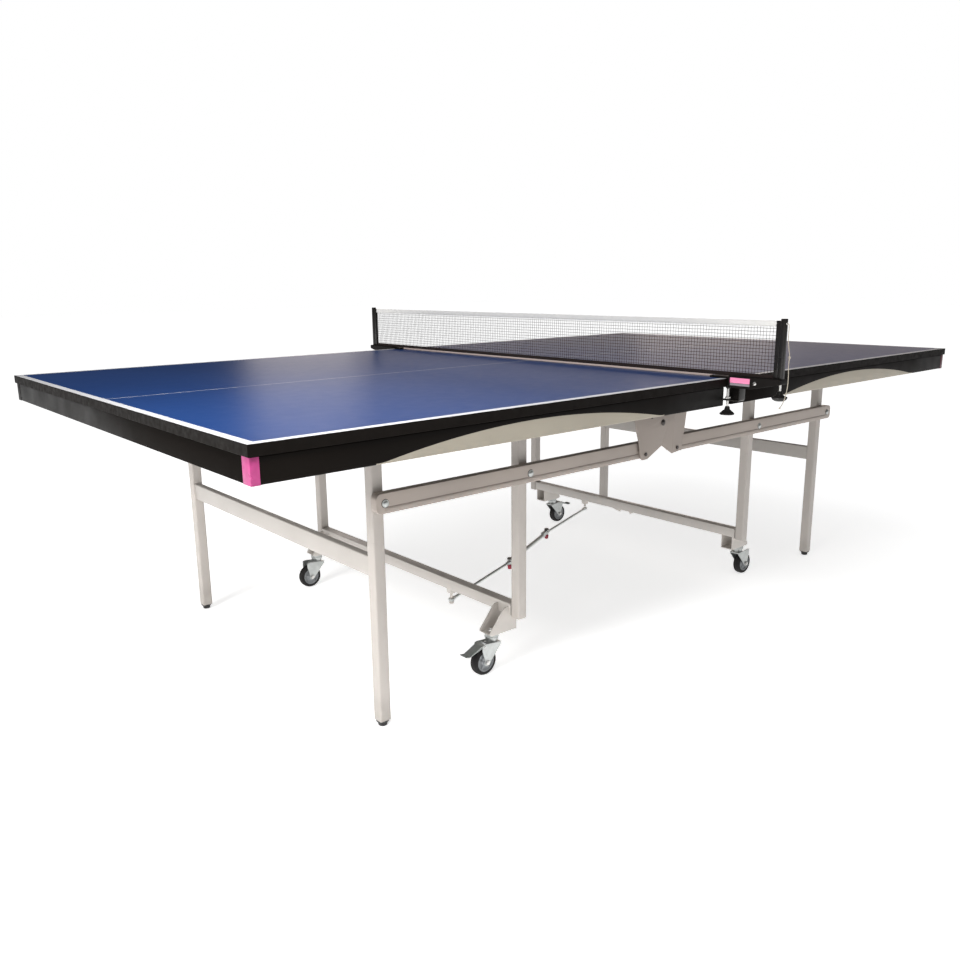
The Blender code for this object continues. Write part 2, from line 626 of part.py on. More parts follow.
def make_clamp_arm(name, sy):
    """Lower half of the clamp: a web down from the block and an arm with a nut."""
    half = 0.013
    web = side_box(1, sy, (-half, half), (0.7985, 0.8015), (ARM_Z[0], CLAMP_BODY_Z[0] - GAP))
    arm = side_box(1, sy, (-half, half), (0.7440, 0.8010), ARM_Z)
    nut = rod((0, sy * CLAMP_SCREW_Y, ARM_Z[1] - 0.001), (0, sy * CLAMP_SCREW_Y, ARM_Z[1] + 0.006),
              0.0070, 6)
    bore = rod((0, sy * CLAMP_SCREW_Y, ARM_Z[0] - 0.01), (0, sy * CLAMP_SCREW_Y, ARM_Z[1] + 0.02),
               0.0030 + PIN_CLEARANCE)
    as_part(cut(join(arm, web, nut), bore), name, BLACK)


def make_clamp_screw(name, sy):
    """Screw with a pressure pad under the boards and a conical knob."""
    pad = BOARD_BOTTOM - GAP
    profile = [(0, pad), (0.0065, pad), (0.0065, pad - 0.004), (0.0030, pad - 0.006),
               (0.0030, 0.6850), (0.0060, 0.6840), (0.0075, 0.6770), (0.0125, 0.6700),
               (0.0185, 0.6665), (0.0195, 0.6640), (0.0180, 0.6625), (0, 0.6625)]
    as_part(smooth(turned(profile, (0, sy * CLAMP_SCREW_Y, 0), (0, 0, 1))), name, BLACK)


def make_net():
    """Plain slab in the place of the stretched netting."""
    reach = HOOK_STRIP_Y - GAP
    net = box((-0.0015, -reach, TABLE_HEIGHT + 0.0090), (0.0015, reach, TABLE_HEIGHT + NET_HEIGHT))
    as_part(net, "net", NETTING)


# free end of the net's tension cord, from its eyelet near the top of the near post downwards
CORD_R = 0.001
CORD_ROUTE = [
    (0.0000, -0.9160, 0.9060), (0.0002, -0.9186, 0.9052), (0.0004, -0.9202, 0.9015),
    (0.0003, -0.9207, 0.8950), (0.0000, -0.9209, 0.8850), (-0.0004, -0.9212, 0.8740),
    (-0.0006, -0.9218, 0.8630), (-0.0008, -0.9234, 0.8520), (-0.0014, -0.9258, 0.8420),
    (-0.0022, -0.9280, 0.8330), (-0.0024, -0.9288, 0.8240), (-0.0018, -0.9280, 0.8140),
    (-0.0010, -0.9272, 0.8030), (-0.0006, -0.9276, 0.7910), (-0.0012, -0.9286, 0.7780),
    (-0.0026, -0.9296, 0.7650), (-0.0046, -0.9302, 0.7520), (-0.0076, -0.9304, 0.7390),
    (-0.0118, -0.9300, 0.7265), (-0.0172, -0.9294, 0.7155), (-0.0238, -0.9287, 0.7065),
    (-0.0310, -0.9280, 0.7000),
]


def smooth_route(points, step):
    """Points about one step apart on a Catmull-Rom curve through the route."""
    knots = [Vector(p) for p in points]
    padded = [2 * knots[0] - knots[1]] + knots + [2 * knots[-1] - knots[-2]]
    path = [knots[0]]
    for a, b, c, d in zip(padded, padded[1:], padded[2:], padded[3:]):
        pieces = max(1, round((c - b).length / step))
        for i in range(1, pieces + 1):
            t = i / pieces
            path.append(0.5 * (2 * b + (c - a) * t + (2 * a - 5 * b + 4 * c - d) * t * t
                               + (3 * b - a - 3 * c + d) * t ** 3))
    return path


def make_cord():
    path = smooth_route(CORD_ROUTE, 0.006)
    curve = bpy.data.curves.new("net_cord", "CURVE")
    curve.dimensions = "3D"
    curve.bevel_depth = CORD_R
    curve.bevel_resolution = 2
    curve.use_fill_caps = True
    spline = curve.splines.new("POLY")
    spline.points.add(len(path) - 1)
    for point, where in zip(spline.points, path):
        point.co = (*where, 1)
    as_part(place(bpy.data.objects.new("net_cord", curve)), "net_cord", CORD)


# ---- assembly -----------------------------------------------------------
def make_everything():
    for side, sx in SIDES:
        make_board(side, sx)
        make_aprons(side, sx)
        make_beam(side + "_outer_beam", sx * OUTER_LEG_X)
        make_beam(side + "_inner_beam", sx * INNER_LEG_X)
        make_outer_crossbar(side, sx)
        make_inner_crossbar(side, sx)
        make_stay_rod(side + "_stay_rod", sx)
        for end, sy in ENDS:
            corner = side + "_" + end
            make_leg(corner + "_outer_leg", sx, sy, OUTER_LEG_X, OUTER_LEG_BOTTOM)
            make_leg(corner + "_inner_leg", sx, sy, INNER_LEG_X, INNER_LEG_BOTTOM)
            make_foot(corner + "_foot", sx, sy)
            make_rail(corner + "_rail", sx, sy)
            braked = corner in BRAKED
            make_fork(corner + "_caster_fork", sx, sy, braked)
            make_wheel(corner + "_caster_wheel", sx, sy)
            if braked:
                make_pedal(corner + "_brake_pedal", sx, sy)
    for end, sy in ENDS:
        make_left_plate("left_" + end + "_centre_plate", sy)
        make_right_plate("right_" + end + "_centre_plate", sy)
        make_post(end + "_net_post", sy)
        make_height_knob(end + "_height_knob", sy)
        make_clamp_arm(end + "_clamp_arm", sy)
        make_clamp_screw(end + "_clamp_screw", sy)
    make_stay_bar()
    make_net()
    make_cord()


def pivot(name, where, parent, parts):
    """An empty on a joint's axis that carries the parts turning or sliding with it."""
    empty = place(bpy.data.objects.new("pivot_" + name, None))
    where = Vector(where)
    empty.location = where
    if parent is not None:
        empty.parent = parent
        empty.location = where - Vector(parent["where"])
    empty["where"] = where
    for part in parts:
        obj = bpy.data.objects[part]
        obj.parent = empty
        obj.location = -where
    return empty


def hang_top(side, sx, frame):
    """Half top and its outer legs, which fold up under it."""
    parts = [side + "_" + part for part in ("board", "near_apron", "far_apron", "end_apron",
                                            "outer_beam", "inner_beam")]
    top = pivot(side + "_top", (sx * INNER_LEG_X, 0, TOP_HINGE_Z), frame, parts)
    legs = [side + "_outer_crossbar"]
    for end, _ in ENDS:
        legs += [f"{side}_{end}_outer_leg", f"{side}_{end}_foot"]
    pivot(side + "_outer_frame", (sx * OUTER_LEG_X, 0, TOP_HINGE_Z), top, legs)


def hang_casters(side, sx, frame):
    for end, sy in ENDS:
        corner = side + "_" + end
        swivel = pivot(corner + "_caster", (sx * CASTER_X, sy * CASTER_Y, CASTER_PLATE_Z), frame,
                       [corner + "_caster_fork"])
        pivot(corner + "_wheel", (sx * (CASTER_X + CASTER_TRAIL), sy * CASTER_Y, WHEEL_R), swivel,
              [corner + "_caster_wheel"])
        if corner in BRAKED:
            along, up = PEDAL_PIVOT
            pivot(corner + "_pedal", (sx * (CASTER_X + along), sy * CASTER_Y, up), swivel,
                  [corner + "_brake_pedal"])


def frame_parts(side):
    return [side + "_near_inner_leg", side + "_far_inner_leg", side + "_inner_crossbar"]


def linkage_parts(side):
    names = []
    for end, _ in ENDS:
        names += [f"{side}_{end}_rail", f"{side}_{end}_centre_plate"]
    return names


def hang_everything():
    """The tree of moving bodies, from the left inner frame outwards."""
    left = pivot("left_inner_frame", (0, 0, 0), None, frame_parts("left"))
    hang_top("left", -1, left)
    hang_casters("left", -1, left)
    linkage = pivot("left_linkage", (-INNER_LEG_X, 0, RAIL_Z), left, linkage_parts("left"))
    partner = pivot("right_linkage", (0, 0, CENTRE_BOLT_Z), linkage, linkage_parts("right"))
    right = pivot("right_inner_frame", (INNER_LEG_X, 0, RAIL_Z), partner, frame_parts("right"))
    hang_top("right", 1, right)
    hang_casters("right", 1, right)
    rod_pivot = pivot("stay_left", (-STAY_END.x, -STAY_END.y, STAY_Z), left, ["left_stay_rod"])
    bar_pivot = pivot("stay_middle", (-STAY_JOINT.x, -STAY_JOINT.y, STAY_Z), rod_pivot,
                      ["stay_middle_bar"])
    pivot("stay_right", (STAY_JOINT.x, STAY_JOINT.y, STAY_Z), bar_pivot, ["right_stay_rod"])
    brackets = pivot("net_brackets", (0, 0, CENTRE_BOLT_Z), linkage,
                     ["near_clamp_arm", "far_clamp_arm"])
    net_set = pivot("net_set", (0, 0, TABLE_HEIGHT), brackets,
                    ["near_net_post", "far_net_post", "net", "net_cord"])
    for end, sy in ENDS:
        pivot(end + "_screw", (0, sy * CLAMP_SCREW_Y, ARM_Z[1]), brackets, [end + "_clamp_screw"])
        pivot(end + "_knob", (0, sy * POST_MIDDLE_Y, CLAMP_TIP_Z), net_set, [end + "_height_knob"])


make_everything()
hang_everything()
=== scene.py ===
"""Looks of the folding ping pong table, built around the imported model.

Frame: X along the table, Y across it, Z up, metres, origin on the floor under
the net line. "left" is -X and "near" is -Y. Sizes come from the model's nodes.
"""
import math

import bmesh
import bpy
from mathutils import Matrix, Vector


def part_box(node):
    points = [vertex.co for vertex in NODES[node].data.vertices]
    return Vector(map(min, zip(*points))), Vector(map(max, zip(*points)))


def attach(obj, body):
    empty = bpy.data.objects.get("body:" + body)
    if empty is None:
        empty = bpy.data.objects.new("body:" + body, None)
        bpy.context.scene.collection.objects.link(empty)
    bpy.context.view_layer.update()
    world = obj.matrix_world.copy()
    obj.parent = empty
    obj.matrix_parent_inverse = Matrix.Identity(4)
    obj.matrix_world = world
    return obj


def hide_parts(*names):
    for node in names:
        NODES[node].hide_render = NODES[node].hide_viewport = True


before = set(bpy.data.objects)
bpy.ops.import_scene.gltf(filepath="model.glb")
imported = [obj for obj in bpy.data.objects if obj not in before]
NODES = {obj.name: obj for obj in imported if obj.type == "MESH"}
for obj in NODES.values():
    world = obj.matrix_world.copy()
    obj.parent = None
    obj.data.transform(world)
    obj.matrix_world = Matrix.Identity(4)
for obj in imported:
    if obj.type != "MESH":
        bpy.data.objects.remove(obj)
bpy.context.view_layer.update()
SIDES = (("left", -1), ("right", 1))
ENDS = (("near", -1), ("far", 1))


# ---- camera -------------------------------------------------------------
def make_camera():
    """The viewpoint: in front of the left half, a little above the top."""
    azimuth, elevation, roll = (math.radians(a) for a in (-40.5215, 13.0378, -0.6026))
    back = Vector((math.sin(azimuth) * math.cos(elevation),
                   -math.cos(azimuth) * math.cos(elevation), math.sin(elevation)))
    side = Vector((0, 0, 1)).cross(back).normalized()
    up = back.cross(side)
    rolled_side = side * math.cos(roll) + up * math.sin(roll)
    rolled_up = up * math.cos(roll) - side * math.sin(roll)
    camera = bpy.data.objects.new("camera", bpy.data.cameras.new("camera"))
    camera.data.sensor_width = 36
    camera.data.lens = 32.093
    camera.matrix_world = Matrix.Translation((-1.9717, -2.0486, 1.0141)) @ Matrix(
        (rolled_side, rolled_up, back)).transposed().to_4x4()
    bpy.context.collection.objects.link(camera)
    bpy.context.scene.camera = camera


make_camera()


# ---- materials ----------------------------------------------------------
class Nodes:
    """Short names for the nodes of one material."""

    def __init__(self, name):
        self.mat = bpy.data.materials.new(name)
        self.mat.use_nodes = True
        self.tree = self.mat.node_tree
        self.shader = self.tree.nodes["Principled BSDF"]

    def feed(self, socket, value):
        """Link a socket's value, or set it; a colour is given as three numbers."""
        if isinstance(value, bpy.types.NodeSocket):
            self.tree.links.new(value, socket)
        else:
            socket.default_value = (*value, 1) if isinstance(value, tuple) else value

    def add(self, kind, inputs=(), **props):
        node = self.tree.nodes.new(kind)
        for key, value in props.items():
            setattr(node, key, value)
        for key, value in dict(inputs).items():
            self.feed(node.inputs[key], value)
        return node

    def place(self):
        return self.add("ShaderNodeTexCoord").outputs["Object"]

    def noise(self, scale, detail=3.0, roughness=0.5):
        return self.add("ShaderNodeTexNoise", {"Vector": self.place(), "Scale": scale,
                                               "Detail": detail,
                                               "Roughness": roughness}).outputs["Fac"]

    def math(self, operation, a, b=0.0):
        return self.add("ShaderNodeMath", {0: a, 1: b}, operation=operation).outputs[0]

    def remap(self, value, low, high, to_low=0.0, to_high=1.0):
        return self.add("ShaderNodeMapRange", {"Value": value, "From Min": low, "From Max": high,
                                               "To Min": to_low, "To Max": to_high}).outputs[0]

    def blend(self, factor, a, b):
        mix = self.add("ShaderNodeMix", {0: factor, 6: a, 7: b}, data_type="RGBA")
        return mix.outputs[2]

    def bump(self, height, strength, distance):
        node = self.add("ShaderNodeBump", {"Height": height, "Strength": strength,
                                           "Distance": distance})
        self.tree.links.new(node.outputs[0], self.shader.inputs["Normal"])

    def set(self, **values):
        """Principled inputs: base_color, roughness, metallic and so on."""
        names = {"base_color": "Base Color", "roughness": "Roughness", "metallic": "Metallic",
                 "specular": "Specular IOR Level", "sheen": "Sheen Weight",
                 "sheen_roughness": "Sheen Roughness"}
        for key, value in values.items():
            self.feed(self.shader.inputs[names[key]], value)
        return self.mat


def shade(color, factor):
    return tuple(min(1.0, c * factor) for c in color)


def make_lacquer(name, deep, light):
    """Table-top lacquer: cloudy blue, fine stipple and faint ball marks."""
    n = Nodes(name)
    cloud = n.remap(n.noise(1.1, 4), 0.35, 0.65)
    tone = n.blend(cloud, deep, light)
    marks = n.remap(n.noise(14, 7, 0.7), 0.60, 0.72, 0, 0.06)
    tone = n.blend(marks, tone, shade(light, 1.4))
    n.bump(n.noise(900, 2), 0.2, 0.0002)
    return n.set(base_color=tone, roughness=n.remap(n.noise(30, 5, 0.6), 0.3, 0.7, 0.38, 0.41),
                 specular=0.5)


def make_line_paint(name, color):
    """Matt white line paint, worn thin in patches."""
    n = Nodes(name)
    worn = n.remap(n.noise(26, 6, 0.7), 0.55, 0.75, 0, 0.35)
    n.bump(n.noise(900, 2), 0.3, 0.0002)
    return n.set(base_color=n.blend(worn, color, shade(color, 0.72)),
                 roughness=n.remap(n.noise(60), 0.3, 0.7, 0.38, 0.55))


def make_powder(name, color, metallic, rough, darken_below=0.0, grain=520, specular=0.4):
    """Powder coat: orange peel, faint clouds, scuffs, and a darker band towards the bottom when a
    height for it is given.
    """
    n = Nodes(name)
    tone = n.blend(n.remap(n.noise(3.5, 4), 0.3, 0.7), shade(color, 0.93), shade(color, 1.05))
    scuff = n.remap(n.noise(34, 8, 0.72), 0.64, 0.70, 0, 0.30)
    tone = n.blend(scuff, tone, shade(color, 0.66))
    # darker towards the bottom, up to the given height
    if darken_below:
        height = n.add("ShaderNodeSeparateXYZ", {0: n.place()}).outputs[2]
        low = n.remap(height, 0.0, darken_below, 0.55, 0.0)
        low = n.math("MULTIPLY", low, n.remap(n.noise(18, 6), 0.35, 0.75, 0.2, 1.0))
        tone = n.blend(low, tone, (0.16, 0.14, 0.12))
    n.bump(n.noise(grain, 2), 0.16, 0.00025)
    return n.set(base_color=tone, metallic=metallic, specular=specular,
                 roughness=n.remap(n.noise(12, 4), 0.3, 0.7, rough - 0.07, rough + 0.07))


def make_plastic(name, color, rough, specular=0.5, grain=1500):
    """Moulded plastic with a fine spark-eroded grain."""
    n = Nodes(name)
    tone = n.blend(n.remap(n.noise(40, 5), 0.35, 0.7), color, shade(color, 1.35))
    n.bump(n.noise(grain, 2), 0.25, 0.00008)
    return n.set(base_color=tone, specular=specular,
                 roughness=n.remap(n.noise(70, 3), 0.3, 0.7, rough - 0.08, rough + 0.10))


def make_rubber(name, color):
    """Black tyre rubber with floor dust on it."""
    n = Nodes(name)
    dust = n.remap(n.noise(55, 6, 0.7), 0.45, 0.75, 0, 0.45)
    n.bump(n.noise(700, 3), 0.5, 0.0003)
    return n.set(base_color=n.blend(dust, color, shade(color, 3.2)), roughness=0.78, specular=0.35)


def make_plated(name, color, rough, spangle=0.5):
    """Zinc or nickel plate: metal with a slight drawn grain and dull patches."""
    n = Nodes(name)
    patch = n.remap(n.noise(45, 5, 0.6), 0.35, 0.7)
    tone = n.blend(patch, shade(color, 1 - 0.35 * spangle), shade(color, 1 + 0.15 * spangle))
    n.bump(n.noise(600, 3), 0.15, 0.0002)
    return n.set(base_color=tone, metallic=0.8,
                 roughness=n.remap(patch, 0, 1, rough + 0.14 * spangle, rough))


def make_cloth(name, color, thread, strength=0.6, sheen=0.25, specular=0.3):
    """Plain-woven tape or thread: crossed waves of the thread's pitch, a little darker in the
    hollows of the weave as painted shade.
    """
    n = Nodes(name)
    x, y, z = n.add("ShaderNodeSeparateXYZ", {0: n.place()}).outputs[0:3]
    warp = n.math("SINE", n.math("MULTIPLY", y, math.tau / thread))
    weft = n.math("SINE", n.math("MULTIPLY", n.math("ADD", z, x), math.tau / thread))
    weave = n.math("MULTIPLY", warp, weft)
    # the colour follows the weave height, a little darker in its hollows: painted shade
    tone = n.blend(n.remap(weave, -1, 1), shade(color, 0.90), color)
    tone = n.blend(n.remap(n.noise(14, 5), 0.4, 0.75, 0, 0.2), tone, shade(color, 0.85))
    n.bump(weave, strength, 0.0002)
    return n.set(base_color=tone, roughness=0.85, sheen=sheen, sheen_roughness=0.5,
                 specular=specular)


STRAND_PITCH = 0.0018


def make_twist(name, color):
    """Twisted cord: slanting strands round the lie of the cord, darker in the troughs between
    strands as painted shade.
    """
    n = Nodes(name)
    x, y, z = n.add("ShaderNodeSeparateXYZ", {0: n.place()}).outputs[0:3]
    slant = n.math("ADD", z, n.math("MULTIPLY", n.math("ADD", x, y), 1.2))
    strand = n.math("SINE", n.math("MULTIPLY", slant, math.tau / STRAND_PITCH))
    n.bump(strand, 0.8, 0.0003)
    # the colour follows the strand height, darker in the troughs: painted shade
    return n.set(base_color=n.blend(n.remap(strand, -1, 1), shade(color, 0.62), color),
                 roughness=0.8, sheen=0.3, specular=0.3)


def make_floor_paint(name):
    """Matt white studio floor that glows a little, as a lit sweep does."""
    n = Nodes(name)
    tone = n.blend(n.remap(n.noise(0.5, 4), 0.3, 0.7), (0.93, 0.93, 0.93), (0.97, 0.97, 0.97))
    far = n.add("ShaderNodeVectorMath", {0: n.place()}, operation="LENGTH").outputs["Value"]
    n.shader.inputs["Emission Color"].default_value = (1, 1, 1, 1)
    n.tree.links.new(n.remap(far, 1.2, 3.2, 0.66, 0.78), n.shader.inputs["Emission Strength"])
    return n.set(base_color=tone, roughness=0.9, specular=0.0)


BLUE = make_lacquer("table_blue", (0.0085, 0.040, 0.160), (0.0125, 0.050, 0.190))
WHITE_LINE = make_line_paint("white_line", (0.64, 0.64, 0.66))
EDGE_BLACK = make_plastic("board_edge_black", (0.0050, 0.0038, 0.0030), 0.55, 0.08, grain=350)
UNDERSIDE = make_plastic("board_underside", (0.030, 0.028, 0.026), 0.65, 0.3)
APRON_BLACK = make_powder("apron_black", (0.0042, 0.0030, 0.0022), 0.0, 0.50, specular=0.10)
APRON_BEIGE = make_powder("apron_beige", (0.375, 0.340, 0.275), 0.2, 0.42)
PINK = make_plastic("pink_print", (0.36, 0.034, 0.160), 0.34)
PALE_PINK = make_plastic("pale_pink_print", (0.80, 0.24, 0.42), 0.34)
MAROON = make_plastic("maroon_print", (0.075, 0.010, 0.020), 0.4)
GREY_PRINT = make_plastic("grey_print", (0.20, 0.18, 0.20), 0.4)
LEG_PAINT = make_powder("leg_paint", (0.53, 0.49, 0.455), 0.0, 0.40, darken_below=0.10)
# the frame paint made a little darker than the legs' paint: painted shade, for light that falls off
# further back
SHADED_BAR_PAINT = make_powder("bar_paint_painted_shade", (0.50, 0.47, 0.44), 0.0, 0.40)
# the same frame paint made much lighter for the inner crossbars: painted light
LIT_INNER_BAR_PAINT = make_powder("inner_bar_paint_painted_light", (0.66, 0.62, 0.58), 0.0, 0.40)
RAIL_PAINT = make_powder("rail_paint", (0.42, 0.365, 0.325), 0.15, 0.42)
PLATE_PAINT = make_powder("plate_paint", (0.36, 0.31, 0.275), 0.15, 0.42)
# rail paint darkened for the groove strip: painted shade in the recess
GROOVE_SHADE = make_powder("rail_groove_painted_shade", (0.26, 0.22, 0.195), 0.1, 0.5)
ZINC = make_plated("zinc_plate", (0.55, 0.57, 0.56), 0.30)
STEEL = make_plated("bright_steel", (0.72, 0.71, 0.69), 0.20, 0.3)
PEDAL_ZINC = make_powder("pedal_zinc", (0.30, 0.32, 0.31), 0.4, 0.36)
DARK_STEEL = make_plated("dark_steel", (0.10, 0.09, 0.085), 0.35, 0.4)
BLACK_METAL = make_powder("black_metal", (0.013, 0.012, 0.011), 0.0, 0.30, grain=900)
CLAMP_BLACK = make_powder("clamp_black", (0.010, 0.0088, 0.0082), 0.0, 0.55, grain=900,
                          specular=0.10)
BLACK_PLASTIC = make_plastic("black_plastic", (0.012, 0.011, 0.011), 0.40)
GREY_PLASTIC = make_plastic("grey_hub_plastic", (0.24, 0.25, 0.26), 0.42)
RED_PLASTIC = make_plastic("red_plastic", (0.26, 0.010, 0.030), 0.35)
RUBBER = make_rubber("black_rubber", (0.016, 0.015, 0.015))
NET_THREAD = make_cloth("net_thread", (0.034, 0.026, 0.024), 0.0011, 0.5, sheen=0.0, specular=0.08)
NET_HEM = make_cloth("net_hem_cloth", (0.026, 0.019, 0.018), 0.0009, sheen=0.05, specular=0.12)
TAPE_WHITE = make_cloth("net_tape_cloth", (0.80, 0.79, 0.77), 0.0008)
TAPE_BEIGE = make_cloth("net_hem_edge_cloth", (0.52, 0.42, 0.385), 0.0008)
STITCH = make_twist("stitch_thread", (0.70, 0.69, 0.67))
CORD = make_twist("cord_twist", (0.66, 0.59, 0.48))
FLOOR = make_floor_paint("floor_paint")


# ---- mesh helpers -------------------------------------------------------
def add_object(name, data):
    obj = bpy.data.objects.new(name, data)
    bpy.context.collection.objects.link(obj)
    return obj


def smooth(obj, sharp=35):
    """Smooth shading, with the edges that turn by more than sharp degrees kept sharp."""
    obj.data.shade_smooth()
    obj.data.set_sharp_from_angle(angle=math.radians(sharp))
    return obj


def finished(obj, mat, sharp=35):
    """One material for the whole object, and smooth shading."""
    obj.data.materials.clear()
    obj.data.materials.append(mat)
    return smooth(obj, sharp)


def built(name, work, *mats):
    """The object that a bmesh makes, with its materials; the bmesh is freed."""
    mesh = bpy.data.meshes.new(name)
    work.to_mesh(mesh)
    work.free()
    for mat in mats:
        mesh.materials.append(mat)
    return add_object(name, mesh)


def skin(work, grid):
    """Quads between neighbouring rows of vertices; returns the faces row by row."""
    return [[work.faces.new((a[i], b[i], b[i + 1], a[i + 1])) for i in range(len(a) - 1)]
            for a, b in zip(grid, grid[1:])]


def add_bevel(obj, width, segments, angle):
    """Ease the edges that turn by more than angle degrees."""
    bevel = obj.modifiers.new("Bevel", "BEVEL")
    bevel.width, bevel.segments = width, segments
    bevel.limit_method = "ANGLE"
    bevel.angle_limit = math.radians(angle)
    return bevel


def as_mesh(obj):
    """The object again, as the mesh that its modifiers or its curve give."""
    bpy.context.view_layer.update()
    evaluated = obj.evaluated_get(bpy.context.evaluated_depsgraph_get())
    mesh = bpy.data.meshes.new_from_object(evaluated)
    mesh.transform(obj.matrix_world)
    work = bmesh.new()
    work.from_mesh(mesh)
    bmesh.ops.remove_doubles(work, verts=work.verts, dist=0.000005)
    bmesh.ops.recalc_face_normals(work, faces=work.faces)
    work.to_mesh(mesh)
    work.free()
    name = obj.name
    bpy.data.objects.remove(obj)
    return add_object(name, mesh)


def rounded(width, height, radius, centre, steps=5):
    """Outline of a rectangle with round corners."""
    points = []
    for quarter, (sx, sy) in enumerate(((1, 1), (-1, 1), (-1, -1), (1, -1))):
        x = centre[0] + sx * (width / 2 - radius)
        y = centre[1] + sy * (height / 2 - radius)
        points += arc((x, y), radius, 90 * quarter, 90 * quarter + 90, steps)
    return points


def arc(centre, radius, start, end, steps):
    """Points on an arc between two angles in degrees."""
    points = []
    for i in range(steps + 1):
        angle = math.radians(start + (end - start) * i / steps)
        points.append((centre[0] + radius * math.cos(angle), centre[1] + radius * math.sin(angle)))
    return points


def circle(centre, radius):
    """A closed ring of 28 points."""
    return arc(centre, radius, 0, 360 - 360 / 28, 27)


def soft_corners(corners, radius, steps):
    """An outline through the corners, with each corner rounded."""
    points = []
    count = len(corners)
    for i, corner in enumerate(corners):
        here = Vector(corner)
        before, after = Vector(corners[i - 1]), Vector(corners[(i + 1) % count])
        to_before, to_after = before - here, after - here
        reach = min(radius, 0.45 * to_before.length, 0.45 * to_after.length)
        a, b = here + to_before.normalized() * reach, here + to_after.normalized() * reach
        for j in range(steps + 1):
            t = j / steps
            point = a * (1 - t) ** 2 + here * 2 * t * (1 - t) + b * t * t
            points.append(tuple(point))
    return points


AXES = {"X": Matrix(((0, 0, 1), (1, 0, 0), (0, 1, 0))),
        "Y": Matrix(((1, 0, 0), (0, 0, -1), (0, 1, 0))), "Z": Matrix.Identity(3)}


def span(sign, a, b):
    """Two distances from the middle plane, on the side that sign says, lowest first."""
    return sorted((sign * a, sign * b))


def aimed(axis):
    """The turn that brings Z onto an axis."""
    return Vector(axis).to_track_quat("Z", "Y").to_matrix().to_4x4()


def prism(name, outlines, low, high, axis, mat, bevel, steps=2):
    """Flat outlines (the first one outer, the rest holes) run from low to high along an axis.

    An outline is in (y, z) for axis X, (x, z) for Y and (x, y) for Z. Its edges are rounded.
    """
    curve = bpy.data.curves.new(name, "CURVE")
    curve.dimensions = "2D"
    curve.fill_mode = "BOTH"
    curve.extrude = abs(high - low) / 2 - bevel
    curve.bevel_depth = bevel
    curve.offset = -bevel
    curve.bevel_resolution = steps
    for outline in outlines:
        spline = curve.splines.new("POLY")
        spline.points.add(len(outline) - 1)
        for point, (a, b) in zip(spline.points, outline):
            point.co = (a, b, 0, 1)
        spline.use_cyclic_u = True
    obj = add_object(name, curve)
    middle = (low + high) / 2 * (-1 if axis == "Y" else 1)
    obj.matrix_world = AXES[axis].to_4x4() @ Matrix.Translation((0, 0, middle))
    return finished(as_mesh(obj), mat)


def lathe(name, profile, centre, mat, axis=(0, 0, 1), steps=40, sharp=35):
    """A turned solid from (radius, height) pairs, top to bottom."""
    mesh = bpy.data.meshes.new(name)
    mesh.from_pydata([(r, 0, h) for r, h in profile],
                     [(i, i + 1) for i in range(len(profile) - 1)], [])
    obj = add_object(name, mesh)
    screw = obj.modifiers.new("Screw", "SCREW")
    screw.angle = math.tau
    screw.steps = screw.render_steps = steps
    screw.use_merge_vertices = True
    screw.merge_threshold = 0.000005
    obj.matrix_world = Matrix.Translation(centre) @ aimed(axis)
    return finished(as_mesh(obj), mat, sharp)


def shaft(name, start, end, radius, mat, ease=0.0004, steps=24):
    """A round bar with eased ends."""
    start, end = Vector(start), Vector(end)
    length = (end - start).length
    profile = [(0, length), (radius - ease, length), (radius, length - ease), (radius, ease),
               (radius - ease, 0), (0, 0)]
    return lathe(name, profile, start, mat, end - start, steps)


def sweep(name, points, radius, mat, resolution=4):
    """A round tube or wire along points."""
    curve = bpy.data.curves.new(name, "CURVE")
    curve.dimensions = "3D"
    curve.bevel_depth = radius
    curve.bevel_resolution = resolution
    curve.use_fill_caps = True
    spline = curve.splines.new("POLY")
    spline.points.add(len(points) - 1)
    for point, where in zip(spline.points, points):
        point.co = (*where, 1)
    curve.materials.append(mat)
    return add_object(name, curve)


def merged(name, parts):
    """One mesh object out of several, each with its own materials."""
    work = bmesh.new()
    slots = []
    for part in parts:
        start = len(work.faces)
        work.from_mesh(part.data)
        work.faces.ensure_lookup_table()
        for face in work.faces[start:]:
            mat = part.data.materials[face.material_index]
            if mat not in slots:
                slots.append(mat)
            face.material_index = slots.index(mat)
        bpy.data.objects.remove(part)
    return built(name, work, *slots)


def on(obj, body, slot, *nodes):
    """Ride on a body and stand for CAD nodes, which it hides; the slot is not used."""
    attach(obj, body)
    if nodes:
        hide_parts(*nodes)
    return obj


def eased(node, mat, width=0.0006):
    """A CAD node that stays: its edges are rounded and it gets its material."""
    obj = NODES[node]
    weld = obj.modifiers.new("Weld", "WELD")
    weld.merge_threshold = 0.00001
    add_bevel(obj, width, 2, 40)
    finished(obj, mat)


def middle_of(node):
    low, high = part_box(node)
    return (low + high) / 2


def hex_nut(name, centre, axis, across, height, mat):
    """A chamfered hexagon nut or bolt head; centre is its seat, axis its way out."""
    nut = prism(name, [arc((0, 0), across / 2 / math.cos(math.pi / 6), 0, 300, 5)], 0, height, "Z",
                mat, 0.0004)
    nut.data.transform(Matrix.Translation(centre) @ aimed(axis))
    return nut


def dome_bolt(name, centre, axis, radius, height, mat):
    """A domed bolt head on a washer; centre is its seat, axis its way out."""
    profile = [(0, height), (radius * 0.45, height * 0.97), (radius * 0.75, height * 0.80),
               (radius * 0.92, height * 0.50), (radius * 0.96, height * 0.30),
               (radius * 1.18, height * 0.28), (radius * 1.22, height * 0.20),
               (radius * 1.22, 0), (0, 0)]
    return lathe(name, profile, centre, mat, axis, 32)


